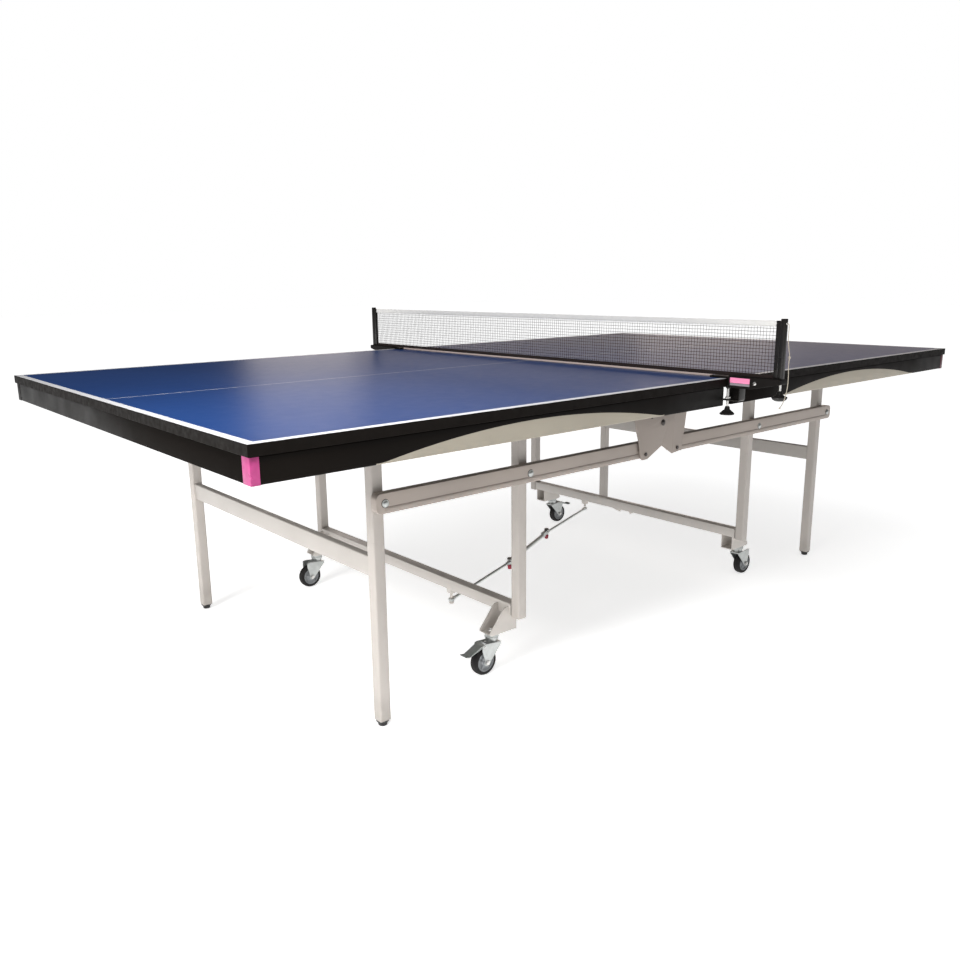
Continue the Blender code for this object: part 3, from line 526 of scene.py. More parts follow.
# ---- net cord, first because its length and place are checked -----------
CORD_R = 0.001
CORD_ROUTE = [
    (0.0000, -0.9160, 0.9060), (0.0002, -0.9186, 0.9052), (0.0004, -0.9202, 0.9015),
    (0.0003, -0.9207, 0.8950), (0.0000, -0.9209, 0.8850), (-0.0004, -0.9212, 0.8740),
    (-0.0006, -0.9218, 0.8630), (-0.0008, -0.9234, 0.8520), (-0.0014, -0.9258, 0.8420),
    (-0.0022, -0.9280, 0.8330), (-0.0024, -0.9288, 0.8240), (-0.0018, -0.9280, 0.8140),
    (-0.0010, -0.9272, 0.8030), (-0.0006, -0.9276, 0.7910), (-0.0012, -0.9286, 0.7780),
    (-0.0026, -0.9296, 0.7650), (-0.0046, -0.9302, 0.7520), (-0.0076, -0.9304, 0.7390),
    (-0.0118, -0.9300, 0.7265), (-0.0172, -0.9294, 0.7155), (-0.0238, -0.9287, 0.7065),
    (-0.0310, -0.9280, 0.7000),
]


def smooth_route(points, step):
    """Points about one step apart on a Catmull-Rom curve through the route."""
    knots = [Vector(p) for p in points]
    padded = [2 * knots[0] - knots[1]] + knots + [2 * knots[-1] - knots[-2]]
    path = [knots[0]]
    for a, b, c, d in zip(padded, padded[1:], padded[2:], padded[3:]):
        pieces = max(1, round((c - b).length / step))
        for i in range(1, pieces + 1):
            t = i / pieces
            path.append(0.5 * (2 * b + (c - a) * t + (2 * a - 5 * b + 4 * c - d) * t * t
                               + (3 * b - a - 3 * c + d) * t ** 3))
    return path


def make_cord():
    """The free end of the net's tension cord, with an end knot and a stopper knot."""
    path = smooth_route(CORD_ROUTE, 0.002)
    cord = on(sweep("net_cord_line", path, CORD_R, CORD), "net_set", "cord", "net_cord")
    for name, spot, size in (("net_cord_end_knot", path[-1], 0.0019),
                             ("net_cord_stopper_knot", Vector(CORD_ROUTE[10]), 0.0026)):
        loops = []
        for i in range(61):
            t = math.tau * i / 60
            loops.append(spot + Vector((size * math.sin(2 * t) * 0.6, size * math.cos(t) * 0.8,
                                        size * math.sin(3 * t) * 0.9)))
        on(as_mesh(sweep(name, loops, CORD_R * 0.8, CORD)), "net_set", "cord")


make_cord()


# ---- half tops ----------------------------------------------------------
LINE_EDGE = 0.020
LINE_CENTRE = 0.003


def make_board(side, sx):
    """Lacquered board: painted lines are faces of the top, the edge is black."""
    low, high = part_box(side + "_board")
    inner, outer = (low.x, high.x) if sx > 0 else (high.x, low.x)
    xs = sorted([inner, outer - sx * LINE_EDGE, outer])
    ys = [low.y, low.y + LINE_EDGE, -LINE_CENTRE / 2, LINE_CENTRE / 2, high.y - LINE_EDGE, high.y]
    work = bmesh.new()
    grid = [[work.verts.new((x, y, high.z)) for y in ys] for x in xs]
    skin(work, grid)
    grown = bmesh.ops.extrude_face_region(work, geom=list(work.faces), use_keep_orig=True)
    for vert in (g for g in grown["geom"] if isinstance(g, bmesh.types.BMVert)):
        vert.co.z = low.z
    bmesh.ops.recalc_face_normals(work, faces=work.faces)
    for face in work.faces:
        spot = face.calc_center_median()
        if face.normal.z > 0.9:
            on_end = abs(spot.x) > abs(outer) - LINE_EDGE
            on_side = abs(spot.y) > high.y - LINE_EDGE or abs(spot.y) < LINE_CENTRE / 2
            face.material_index = 1 if on_end or on_side else 0
        else:
            face.material_index = 3 if face.normal.z < -0.9 else 2
    board = smooth(built(side + "_top_board", work, BLUE, WHITE_LINE, EDGE_BLACK, UNDERSIDE))
    add_bevel(board, 0.0009, 3, 60).material = 2
    on(board, side + "_top", "playing_surface", side + "_board")


# the printed arc on a side skirt: beige below it, black above
ARC_INNER_X, ARC_OUTER_X = 0.269, 1.118
ARC_RISE = 0.0405
ARC_STEPS = 72
SHEET = 0.0015


def arc_height(x, bottom):
    """Height of the print's lower edge: a circle's arc over its chord."""
    half = (ARC_OUTER_X - ARC_INNER_X) / 2
    offset = abs(x) - (ARC_INNER_X + ARC_OUTER_X) / 2
    if abs(offset) >= half:
        return bottom
    radius = (half * half + ARC_RISE * ARC_RISE) / (2 * ARC_RISE)
    return bottom + math.sqrt(radius * radius - offset * offset) - (radius - ARC_RISE)


def skirt_profile(depth, bottom, top):
    """Cross-section (inwards, up) of a folded skirt, and where its face is split."""
    r = 0.003
    lower = [(depth, bottom + 0.006), (depth, bottom)] + [
        (r - r * math.sin(a), bottom + r - r * math.cos(a)) for a in (0, 0.5, 1.05, 1.5708)]
    upper = [(r - r * math.cos(a), top - r + r * math.sin(a)) for a in (0, 0.5, 1.05, 1.5708)]
    return lower, upper + [(depth, top)]


def hang_skirt(node, side, work, axis, face, *mats):
    """A skirt from the bmesh of its outer skin, which faces out along an axis at face."""
    bmesh.ops.recalc_face_normals(work, faces=work.faces)
    work.normal_update()
    outwards = sum(f.normal[axis] * face for f in work.faces
                   if abs(f.calc_center_median()[axis] - face) < 1e-5)
    if outwards < 0:
        bmesh.ops.reverse_faces(work, faces=work.faces)
    skirt = smooth(built(node + "_skirt", work, *mats), 50)
    solid = skirt.modifiers.new("Solidify", "SOLIDIFY")
    solid.thickness = SHEET
    solid.offset = -1
    on(skirt, side + "_top", "apron_paint", node)


def make_side_skirt(side, sx, end, sy):
    """Long skirt, extruded along X in columns so that the arc is a crisp edge."""
    node = f"{side}_{end}_apron"
    low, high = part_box(node)
    face_y = sy * max(abs(low.y), abs(high.y))
    depth = high.y - low.y
    inner, outer = sorted((low.x, high.x), key=abs)
    columns = [ARC_INNER_X + (ARC_OUTER_X - ARC_INNER_X) * i / ARC_STEPS
               for i in range(ARC_STEPS + 1)]
    columns = [abs(inner)] + columns + [abs(outer) - 0.0003]
    lower, upper = skirt_profile(depth, low.z, high.z)
    foot_z = lower[-1][1]
    work = bmesh.new()
    rings = []
    for x in columns:
        split = max(foot_z + 0.0001, arc_height(x, low.z))
        profile = lower + [(0, split)] + upper
        rings.append([work.verts.new((sx * x, face_y - sy * y, z)) for y, z in profile])
    for row in skin(work, rings)[1:-1]:
        for face in row[:len(lower)]:
            face.material_index = 1
    hang_skirt(node, side, work, 1, face_y, APRON_BLACK, APRON_BEIGE)
    cap = prism(node + "_end_cap", [rounded(depth - 0.001, high.z - low.z - 0.001, 0.003,
                                            (face_y - sy * depth / 2, (low.z + high.z) / 2))],
                *span(sx, abs(inner) - 0.0012, abs(inner) + 0.0012), "X", APRON_BLACK, 0.0006)
    on(cap, side + "_top", "apron_paint")


def make_end_skirt(side, sx):
    """Black skirt across the end of the table, up to both corners."""
    node = side + "_end_apron"
    low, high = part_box(node)
    face_x = sx * max(abs(low.x), abs(high.x))
    depth = high.x - low.x
    reach = max(abs(corner.y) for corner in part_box(side + "_near_apron"))
    lower, upper = skirt_profile(depth, low.z, high.z)
    profile = [(face_x - sx * d, z) for d, z in lower + upper]
    work = bmesh.new()
    skin(work, [[work.verts.new((x, y, z)) for x, z in profile] for y in (-reach, reach)])
    hang_skirt(node, side, work, 0, face_x, APRON_BLACK)
    for end, sy in ENDS:
        make_corner_wrap(side, sx, end, sy, face_x, sy * reach, low.z, high.z)


def make_corner_wrap(side, sx, end, sy, face_x, face_y, low_z, high_z):
    """Corner piece folded round the meeting skirts: pink at the near left, dark elsewhere."""
    mat = {(-1, -1): PINK, (1, -1): MAROON}.get((sx, sy), APRON_BLACK)
    proud, thick, along_y, along_x = 0.0004, 0.0010, 0.029, 0.017
    out_x, out_y = face_x + sx * proud, face_y + sy * proud
    in_x, in_y = face_x + sx * (proud - thick), face_y + sy * (proud - thick)
    end_x, end_y = face_x - sx * along_x, face_y - sy * along_y
    corners = [(out_x, end_y), (out_x, out_y), (end_x, out_y), (end_x, in_y), (in_x, in_y),
               (in_x, end_y)]
    wrap = prism(f"{side}_{end}_corner_wrap", [soft_corners(corners, 0.0008, 3)],
                 low_z + 0.0003, high_z - 0.0012, "Z", mat, 0.0002)
    on(wrap, side + "_top", "pink_print" if mat is PINK else "apron_paint")


# ---- beams, legs and crossbars -----------------------------------------
LEG_WIDTH = 0.030
LEG_Y = 0.500
LEG_PIN_Z = 0.689
PIN_REACH = 0.0195
WALL = 0.002
INNER_BAR_Z = 0.170


def tube_outlines(width, height, corner, inside_corner, centre):
    """The outer and inner outline of a tube's section."""
    return [rounded(width, height, corner, centre),
            rounded(width - 2 * WALL, height - 2 * WALL, inside_corner, centre)]


def make_leg(side, end, which):
    """Square tube with soft corners, its top pin and its rail bolt."""
    node = f"{side}_{end}_{which}_leg"
    low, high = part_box(node)
    sy = -1 if end == "near" else 1
    x, y = (low.x + high.x) / 2, sy * LEG_Y
    tube = prism(node + "_tube", tube_outlines(LEG_WIDTH, LEG_WIDTH, 0.0042, 0.0022, (x, y)),
                 low.z, high.z - 0.001, "Z", LEG_PAINT, 0.0004)
    cap = prism(node + "_cap", [rounded(LEG_WIDTH - 0.001, LEG_WIDTH - 0.001, 0.0042, (x, y))],
                high.z - 0.004, high.z, "Z", BLACK_PLASTIC, 0.0008)
    pin = shaft(node + "_pin", (x, y - PIN_REACH, LEG_PIN_Z), (x, y + PIN_REACH, LEG_PIN_Z),
                0.004, ZINC)
    rail_z = middle_of(f"{side}_{end}_rail").z
    rail_y = max(abs(corner.y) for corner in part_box(f"{side}_{end}_rail"))
    bush = shaft(node + "_bush", (x, sy * (LEG_Y + LEG_WIDTH / 2 - 0.001), rail_z),
                 (x, sy * (rail_y + 0.0005), rail_z), 0.006, DARK_STEEL)
    bolt = dome_bolt(node + "_bolt", (x, sy * (rail_y + 0.0003), rail_z), (0, sy, 0), 0.0072,
                     0.0042, ZINC)
    on(merged(node + "_assembly", [tube, cap, pin, bush, bolt]), f"{side}_{which}_frame",
       "frame_paint", node)


def make_foot(side, end):
    """Moulded glide: plug, collar with ribs and a round pad."""
    node = f"{side}_{end}_foot"
    plug_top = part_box(node)[1].z
    spot = middle_of(node)
    collar = 0.0147
    profile = [(0, plug_top), (0.0118, plug_top), (0.0125, plug_top - 0.001), (0.0125, collar),
               (0.0152, collar), (0.0160, collar - 0.0008), (0.0160, 0.0122), (0.0153, 0.0114),
               (0.0122, 0.0106), (0.0112, 0.0098), (0.0110, 0.0070), (0.0114, 0.0060),
               (0.0114, 0.0050), (0.0109, 0.0042), (0.0109, 0.0016), (0.0098, 0.0004),
               (0.0085, 0), (0, 0)]
    foot = lathe(node + "_glide", profile, (spot.x, spot.y, 0), BLACK_PLASTIC, steps=40)
    on(foot, side + "_outer_frame", "black_plastic", node)


def make_outer_crossbar(side):
    """Flat oblong tube between the outer legs, with its weld beads."""
    node = side + "_outer_crossbar"
    low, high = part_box(node)
    width, height = high.x - low.x, high.z - low.z
    section = ((low.x + high.x) / 2, (low.z + high.z) / 2)
    bar = prism(node + "_tube", tube_outlines(width, height, 0.0030, 0.0015, section),
                low.y, high.y, "Y", SHADED_BAR_PAINT, 0.0003)
    beads = [weld_bead(node + "_bead", section, width, height, y) for y in (low.y, high.y)]
    on(merged(node + "_bar", [bar] + beads), side + "_outer_frame", "frame_paint", node)


def weld_bead(name, section, width, height, y):
    """A rippled bead round a tube where it meets the leg."""
    outline = rounded(width + 0.0008, height + 0.0008, 0.0034, section, 6)
    points = []
    for i, (a, b) in enumerate(zip(outline, outline[1:] + outline[:1])):
        for j in range(6):
            t = j / 6
            points.append((a[0] + (b[0] - a[0]) * t, y, a[1] + (b[1] - a[1]) * t))
    curve = sweep(name, points, 0.0013, SHADED_BAR_PAINT, resolution=2)
    curve.data.splines[0].use_cyclic_u = True
    for i, point in enumerate(curve.data.splines[0].points):
        point.radius = 1 + 0.25 * math.sin(i * 1.9)
    return finished(as_mesh(curve), SHADED_BAR_PAINT, 60)


def make_frame():
    """Legs, feet and crossbars of both frames, and the beams under the tops."""
    for side, _ in SIDES:
        for end, _ in ENDS:
            for which in ("outer", "inner"):
                make_leg(side, end, which)
            make_foot(side, end)
        make_outer_crossbar(side)
        # the inner crossbars take the lightened frame paint: painted light
        eased(side + "_inner_crossbar", LIT_INNER_BAR_PAINT, 0.0008)
        eased(side + "_outer_beam", SHADED_BAR_PAINT)
        eased(side + "_inner_beam", SHADED_BAR_PAINT)
        section = (middle_of(side + "_near_inner_leg").x, INNER_BAR_Z)
        bar_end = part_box(side + "_inner_crossbar")[1].y - 0.0004
        for end, sy in ENDS:
            bead = weld_bead(f"{side}_{end}_crossbar_bead", section, LEG_WIDTH, LEG_WIDTH,
                             sy * bar_end)
            on(bead, side + "_inner_frame", "frame_paint")


# ---- side rails and centre plates --------------------------------------
def stadium(x0, x1, z, radius, steps):
    """A bar outline with round ends."""
    return arc((x0, z), radius, 90, 270, steps) + arc((x1, z), radius, -90, 90, steps)


def make_rail(side, end, sy):
    """Pressed channel rail: soft edges, a long groove whose strip is darker as painted shade, and a
    lighter lower band.
    """
    node = f"{side}_{end}_rail"
    low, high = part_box(node)
    z, half = (low.z + high.z) / 2, (high.z - low.z) / 2
    inner, outer = sorted((abs(low.y), abs(high.y)))

    def outline(inset, corner):
        """The rail's outline with round corners, drawn in by inset all round."""
        return rounded(high.x - low.x - 2 * inset, 2 * (half - inset), corner,
                       ((low.x + high.x) / 2, z), 8)

    face = prism(node + "_face", [outline(0, 0.013)], *span(sy, outer - WALL, outer), "Y",
                 RAIL_PAINT, 0.0009, steps=3)
    rim = prism(node + "_rim", [outline(0.0002, 0.0128), outline(WALL, 0.011)],
                *span(sy, inner, outer - WALL + 0.0006), "Y", RAIL_PAINT, 0.0004)
    groove_z = z - 0.0090
    x0, x1 = low.x + half + 0.004, high.x - half - 0.004
    band = prism(node + "_band", [stadium(x0, x1, groove_z - 0.0062, 0.0046, 8)],
                 *span(sy, outer - 0.001, outer + 0.0009), "Y", RAIL_PAINT, 0.0007, steps=3)
    # the groove strip takes the darkened rail paint: painted shade
    groove = prism(node + "_groove", [stadium(x0 - 0.002, x1 + 0.002, groove_z, 0.0011, 6)],
                   *span(sy, outer - 0.001, outer + 0.00025), "Y", GROOVE_SHADE, 0.0001)
    on(merged(node + "_channel", [face, rim, band, groove]), side + "_linkage", "rail_paint", node)
    ring = [(0.0098, 0.0012), (0.0102, 0.0008), (0.0102, 0), (0.0064, 0), (0.0064, 0.0012),
            (0.0098, 0.0012)]
    for which in ("outer", "inner"):
        x = middle_of(f"{side}_{end}_{which}_leg").x
        washer = lathe(f"{node}_{which}_washer", ring, (x, sy * (outer - 0.0008), z), DARK_STEEL,
                       (0, sy, 0), 36)
        on(washer, side + "_linkage", "zinc")


PLATE = 0.003
RIGHT_PLATE_Y = 0.5438
LEFT_PLATE_Y = 0.5475
CENTRE_BOLT = (0, 0.617)


def plate_nut(name, x, y, z, sy, across, height):
    """A dark hexagon head on the outer face of a centre plate."""
    return hex_nut(name, (x, sy * (y + PLATE), z), (0, sy, 0), across, height, DARK_STEEL)


def make_left_plate(end, sy):
    """Outer centre plate: arched top, pressed rim line and its bolts."""
    node = f"left_{end}_centre_plate"
    y0 = LEFT_PLATE_Y
    arch = (-0.079, 0.581)
    outline = arc(CENTRE_BOLT, 0.022, -30, 62, 12) + arc(arch, 0.077, 72, 128, 14)
    outline += [(-0.116, 0.600), (-0.106, 0.573), (-0.0985, 0.535)]
    outline += arc((-0.086, 0.529), 0.0105, 190, 265, 6) + [(-0.066, 0.519), (-0.004, 0.549)]
    plate = prism(node + "_plate", [outline, circle(CENTRE_BOLT, 0.0064)],
                  *span(sy, y0, y0 + PLATE), "Y", PLATE_PAINT, 0.0008, steps=3)
    pad = prism(node + "_pad", [stadium(-0.090, -0.074, 0.542, 0.010, 8)],
                *span(sy, RIGHT_PLATE_Y, y0 + 0.001), "Y", PLATE_PAINT, 0.0003)
    rim = prism(node + "_rim", [arc(arch, 0.0745, 74, 126, 14) + arc(arch, 0.0715, 126, 74, 14)],
                *span(sy, y0 + 0.002, y0 + 0.0036), "Y", PLATE_PAINT, 0.0005)
    lower_bolt = plate_nut(node + "_bolt", -0.075, y0, 0.534, sy, 0.0100, 0.0028)
    upper_bolt = plate_nut(node + "_stop", -0.052, y0, 0.637, sy, 0.0075, 0.0024)
    on(merged(node + "_pressing", [plate, pad, rim, lower_bolt, upper_bolt]), "left_linkage",
       "rail_paint", node)


def make_right_plate(end, sy):
    """Inner centre plate, taller, with its folded rib and the common bolt."""
    node = f"right_{end}_centre_plate"
    y0, bolt_z = RIGHT_PLATE_Y, CENTRE_BOLT[1]
    corners = [(0.097, 0.519), (0.100, 0.545), (0.110, 0.600), (0.116, 0.640), (0.106, 0.662),
               (0.050, 0.662)]
    outline = soft_corners(corners + [(0.004, 0.6385)], 0.006, 4)[:-5]
    outline += arc(CENTRE_BOLT, 0.022, 120, 215, 12) + [(0.002, 0.549), (0.052, 0.519)]
    plate = prism(node + "_plate", [outline], *span(sy, y0, y0 + PLATE), "Y", PLATE_PAINT, 0.0008,
                  steps=3)
    rib = prism(node + "_rib", [[(0.052, 0.524), (0.057, 0.524), (0.061, 0.658), (0.056, 0.658)]],
                *span(sy, y0 + 0.001, y0 + 0.0034), "Y", PLATE_PAINT, 0.0010, steps=3)
    out = LEFT_PLATE_Y + PLATE
    shank = shaft(node + "_shank", (0, sy * (y0 + 0.001), bolt_z), (0, sy * (out + 0.001), bolt_z),
                  0.006, ZINC)
    head = dome_bolt(node + "_head", (0, sy * (out + 0.0003), bolt_z), (0, sy, 0), 0.0075, 0.0045,
                     DARK_STEEL)
    lower_bolt = plate_nut(node + "_bolt", 0.075, y0, 0.534, sy, 0.0100, 0.0028)
    on(merged(node + "_pressing", [plate, rib, shank, head, lower_bolt]), "right_linkage",
       "rail_paint", node)


# ---- casters ------------------------------------------------------------
CASTER_TRAIL = 0.030


def make_caster(side, sx, end):
    """Zinc fork with ball race, rubber-tyred wheel, and the brake where there is one."""
    corner = f"{side}_{end}"
    axle = middle_of(corner + "_caster_wheel")
    cx, cy = axle.x - sx * CASTER_TRAIL, axle.y
    half = 0.012
    cheek_y = half + 0.0030
    rings = [(0, 0.1080), (0.0182, 0.1080), (0.0192, 0.1072), (0.0192, 0.1040), (0.0178, 0.1030),
             (0.0178, 0.1018), (0.0192, 0.1008), (0.0192, 0.0985), (0.0180, 0.0945),
             (0.0155, 0.0905), (0.0150, 0.0850), (0.0150, 0.0820), (0, 0.0820)]
    race = lathe(corner + "_race", rings, (cx, cy, 0), ZINC, steps=44)
    crown = prism(corner + "_crown",
                  [rounded(0.037, 2 * cheek_y + 0.003, 0.007, (cx - sx * 0.0005, cy))],
                  0.0805, 0.0850, "Z", ZINC, 0.0009)
    parts = [race, crown]
    profile = [(-0.019, 0.0850), (-0.019, 0.0785)]
    profile += arc((CASTER_TRAIL, axle.z), 0.0095, 225, 400, 14)
    profile += [(0.0455, 0.0700), (0.0460, 0.0760), (0.0460, 0.0860), (0.0440, 0.0890),
                (0.036, 0.0900)]
    for s in (-1, 1):
        outline = [(cx + sx * px, pz) for px, pz in profile]
        parts.append(prism(corner + "_cheek", [outline, circle((axle.x, axle.z), 0.0041)],
                           *sorted((cy + s * cheek_y, cy + s * (cheek_y + 0.0025))), "Y", ZINC,
                           0.0006))
        parts.append(hex_nut(corner + "_axle_nut", (axle.x, cy + s * (cheek_y + 0.0025), axle.z),
                             (0, s, 0), 0.0118, 0.0038, STEEL))
    parts.append(shaft(corner + "_axle", (axle.x, cy - 0.0225, axle.z),
                       (axle.x, cy + 0.0225, axle.z), 0.004, STEEL))
    parts.append(shaft(corner + "_stem", (cx, cy, 0.106), (cx, cy, 0.1225), 0.006, STEEL))
    parts.append(hex_nut(corner + "_stem_nut", (cx, cy, 0.1118), (0, 0, 1), 0.0172, 0.0067, STEEL))
    on(merged(corner + "_fork", parts), corner + "_caster", "zinc", corner + "_caster_fork")

    tyre = [(0.0262, half - 0.0012), (0.0318, half - 0.0002), (0.0340, half - 0.0006),
            (0.0357, half - 0.0020), (0.0368, half - 0.0042), (0.0374, half - 0.0070),
            (0.0375, 0.0015)]
    tyre += [(r, -h) for r, h in reversed(tyre)]
    tyre += [(0.0262, 0), tyre[0]]
    hub = [(0.0044, half + 0.0012), (0.0092, half + 0.0012), (0.0098, half + 0.0006),
           (0.0104, half - 0.0040), (0.0130, half - 0.0052), (0.0215, half - 0.0052),
           (0.0238, half - 0.0036), (0.0244, half - 0.0012), (0.0268, half - 0.0008), (0.0270, 0)]
    hub += [(r, -h) for r, h in reversed(hub[:-1])] + [hub[0]]
    centre = (axle.x, axle.y, axle.z)
    wheel = [lathe(corner + "_tyre", tyre, centre, RUBBER, (0, 1, 0), 64),
             lathe(corner + "_hub", hub, centre, GREY_PLASTIC, (0, 1, 0), 48)]
    for k in range(5):
        spoke = prism(corner + "_spoke", [rounded(0.0036, 0.0150, 0.0015, (0, 0.0165))],
                      -half + 0.0028, half - 0.0028, "Y", GREY_PLASTIC, 0.0006)
        spoke.data.transform(Matrix.Translation(centre) @ Matrix.Rotation(math.tau * k / 5, 4, "Y"))
        wheel.append(spoke)
    on(merged(corner + "_wheel_assembly", wheel), corner + "_wheel", "tyre",
       corner + "_caster_wheel")
    if f"{corner}_brake_pedal" in NODES:
        make_pedal(corner, sx, cx, cy)


def make_pedal(corner, sx, cx, cy):
    """Stamped brake pedal with grip ribs and its pivot pin."""
    px, pz = 0.0390, 0.0830
    half = 0.0140
    corners = [(px - 0.0045, 0.0870), (px - 0.0045, 0.0790), (px + 0.008, 0.0775),
               (px + 0.024, 0.0735), (px + 0.046, 0.0660), (px + 0.060, 0.0690),
               (px + 0.060, 0.0715), (px + 0.046, 0.0692), (px + 0.026, 0.0780),
               (px + 0.008, 0.0865)]
    outline = soft_corners([(cx + sx * x, z) for x, z in corners], 0.003, 4)
    lever = prism(corner + "_lever", [outline], cy - half, cy + half, "Y", PEDAL_ZINC, 0.0010,
                  steps=3)
    parts = [lever, shaft(corner + "_pedal_pin", (cx + sx * px, cy - PIN_REACH, pz),
                          (cx + sx * px, cy + PIN_REACH, pz), 0.0025, STEEL)]
    for k in range(4):
        along = px + 0.0490 + 0.0030 * k
        height = 0.0700 + (0.0715 - 0.0692) * (along - px - 0.046) / 0.014
        parts.append(shaft(corner + "_grip", (cx + sx * along, cy - half + 0.003, height),
                           (cx + sx * along, cy + half - 0.003, height), 0.0007, PEDAL_ZINC,
                           0.0002, 10))
    on(merged(corner + "_pedal_assembly", parts), corner + "_pedal", "black_metal",
       corner + "_brake_pedal")


# ---- folding stay -------------------------------------------------------
STAY_Z = 0.119
STAY_END = Vector((0.518, 0.215, 0))
STAY_JOINT = Vector((0.165, 0.080, 0))
STAY_LIFT = Vector((0, 0, STAY_Z))


def make_stay_rod(side, sx):
    """Thin plated rod, flattened to an eye at each end."""
    node = side + "_stay_rod"
    end, joint = sx * STAY_END, sx * STAY_JOINT
    run = (joint - end).normalized()
    across = Vector((-run.y, run.x, 0))
    parts = [shaft(node + "_bar", end + run * 0.014 + STAY_LIFT, joint - run * 0.014 + STAY_LIFT,
                   0.0040, ZINC)]
    for centre, way in ((end, run), (joint, -run)):
        angle = math.degrees(math.atan2(way.y, way.x))
        neck = [centre + way * 0.022 + across * s * 0.0042 for s in (1, -1)]
        if (neck[0] - centre).cross(neck[1] - centre).z < 0:
            neck.reverse()
        eye = arc((centre.x, centre.y), 0.0090, angle + 35, angle + 325, 24)
        outline = [(neck[0].x, neck[0].y), (neck[1].x, neck[1].y)] + eye
        parts.append(prism(node + "_eye", [outline, circle((centre.x, centre.y), 0.0044)],
                           STAY_Z - 0.0040, STAY_Z + 0.0040, "Z", ZINC, 0.0012, steps=3))
    on(merged(node + "_assembly", parts), "stay_" + side, "zinc", node)


def make_stay_bar():
    """Thick middle bar: end blocks, pins with caps, and red grip knobs below."""
    start, end = -STAY_JOINT, STAY_JOINT
    run = (end - start).normalized()
    across = Vector((-run.y, run.x, 0))
    parts = [shaft("stay_bar", start + run * 0.024 + STAY_LIFT, end - run * 0.024 + STAY_LIFT,
                   0.0065, ZINC, 0.001)]
    for point, way in ((start, run), (end, -run)):
        def oblong(near, far, half):
            """A rectangle along the bar, from near to far of its pin."""
            corners = [point + way * near + across * half, point + way * near - across * half,
                       point + way * far - across * half, point + way * far + across * half]
            return soft_corners([(c.x, c.y) for c in corners], 0.003, 4)
        parts.append(prism("stay_tongue", [oblong(-0.004, 0.037, 0.0062)], STAY_Z + 0.0056,
                           STAY_Z + 0.0098, "Z", ZINC, 0.0008))
        parts.append(prism("stay_block", [oblong(0.0255, 0.046, 0.0068)], STAY_Z - 0.0068,
                           STAY_Z + 0.0090, "Z", ZINC, 0.0010))
        cap = [(0, 0.0155), (0.0068, 0.0152), (0.0082, 0.0138), (0.0085, 0.0100), (0, 0.0098)]
        parts.append(lathe("stay_cap", cap, (point.x, point.y, STAY_Z), DARK_STEEL, steps=32))
        parts.append(shaft("stay_pin", (point.x, point.y, STAY_Z - 0.012),
                           (point.x, point.y, STAY_Z + 0.010), 0.0040, STEEL))
        knob = [(0, -0.0085), (0.0068, -0.0085), (0.0080, -0.0098), (0.0080, -0.0125),
                (0.0072, -0.0140), (0.0070, -0.0190), (0.0064, -0.0222), (0.0050, -0.0235),
                (0, -0.0235)]
        parts.append(lathe("stay_knob", knob, (point.x, point.y, STAY_Z), RED_PLASTIC, steps=32))
    on(merged("stay_middle_bar_assembly", parts), "stay_middle", "zinc", "stay_middle_bar")


# ---- net set ------------------------------------------------------------
NET_PITCH = 0.0090
NET_WIRE = 0.00145
TAPE_HEIGHT = 0.0150
HEM_HEIGHT = 0.0080


def make_netting():
    """Knotless square mesh, its white top tape and its black hem."""
    low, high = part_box("net")
    length = high.y - low.y
    mesh_low, mesh_high = low.z + 0.002, high.z - 0.002
    across = round(length / NET_PITCH)
    rows = round((mesh_high - mesh_low) / NET_PITCH)
    work = bmesh.new()
    grid = []
    for i in range(across + 1):
        y = low.y + length * i / across
        column = []
        for j in range(rows + 1):
            z = mesh_low + (mesh_high - mesh_low) * j / rows
            ripple = 0.0004 * math.sin(i * 1.7 + j * 0.9) if 1 < j < rows - 1 else 0
            column.append(work.verts.new((ripple + sway_at(y),
                                          y + 0.0003 * math.sin(j * 2.1 + i * 0.6),
                                          z + 0.0003 * math.sin(i * 1.3 + j))))
        grid.append(column)
    skin(work, grid)
    netting = built("net_mesh", work, NET_THREAD)
    netting.data.shade_smooth()
    wires = netting.modifiers.new("Wireframe", "WIREFRAME")
    wires.thickness = NET_WIRE
    wires.use_even_offset = False
    wires.use_boundary = True
    on(netting, "net_set", "netting", "net")
    folded = [on(folded_tape("net_top_tape", low.y, high.y, high.z - TAPE_HEIGHT, high.z, 0.0011,
                             TAPE_WHITE), "net_set", "white_line"),
              on(folded_tape("net_hem", low.y, high.y, low.z - 0.0024, low.z + HEM_HEIGHT, 0.0012,
                             NET_HEM), "net_set", "netting")]
    seam = on(stitches("net_tape_stitches", low.y, high.y, high.z - TAPE_HEIGHT + 0.002, 0.0012),
              "net_set", "white_line")
    jaw = max(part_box("near_net_post")[1].y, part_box("near_clamp_arm")[1].y) + 0.001
    board_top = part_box("left_board")[1].z
    piping = on(folded_tape("net_hem_piping", jaw, -jaw, board_top + 0.0010, low.z - 0.0022, 0.0018,
                            TAPE_BEIGE), "net_set", "netting")


def sway_at(y):
    """How far the net leans out of its plane at this place along it."""
    return 0.00035 * math.sin(y * 31) + 0.0002 * math.sin(y * 83)


def folded_tape(name, y0, y1, z0, z1, half, mat):
    """A band folded over the netting, a little wavy along its length."""
    steps = 160
    section = rounded(2 * half, z1 - z0, half * 0.8, (0, (z0 + z1) / 2), 3)
    work = bmesh.new()
    rings = []
    for i in range(steps + 1):
        y = y0 + (y1 - y0) * i / steps
        rings.append([work.verts.new((x + sway_at(y), y, z)) for x, z in section])
    for a, b in zip(rings, rings[1:]):
        for i in range(len(section)):
            j = (i + 1) % len(section)
            work.faces.new((a[i], a[j], b[j], b[i]))
    work.faces.new(rings[0])
    work.faces.new(list(reversed(rings[-1])))
    bmesh.ops.recalc_face_normals(work, faces=work.faces)
    return smooth(built(name, work, mat), 50)


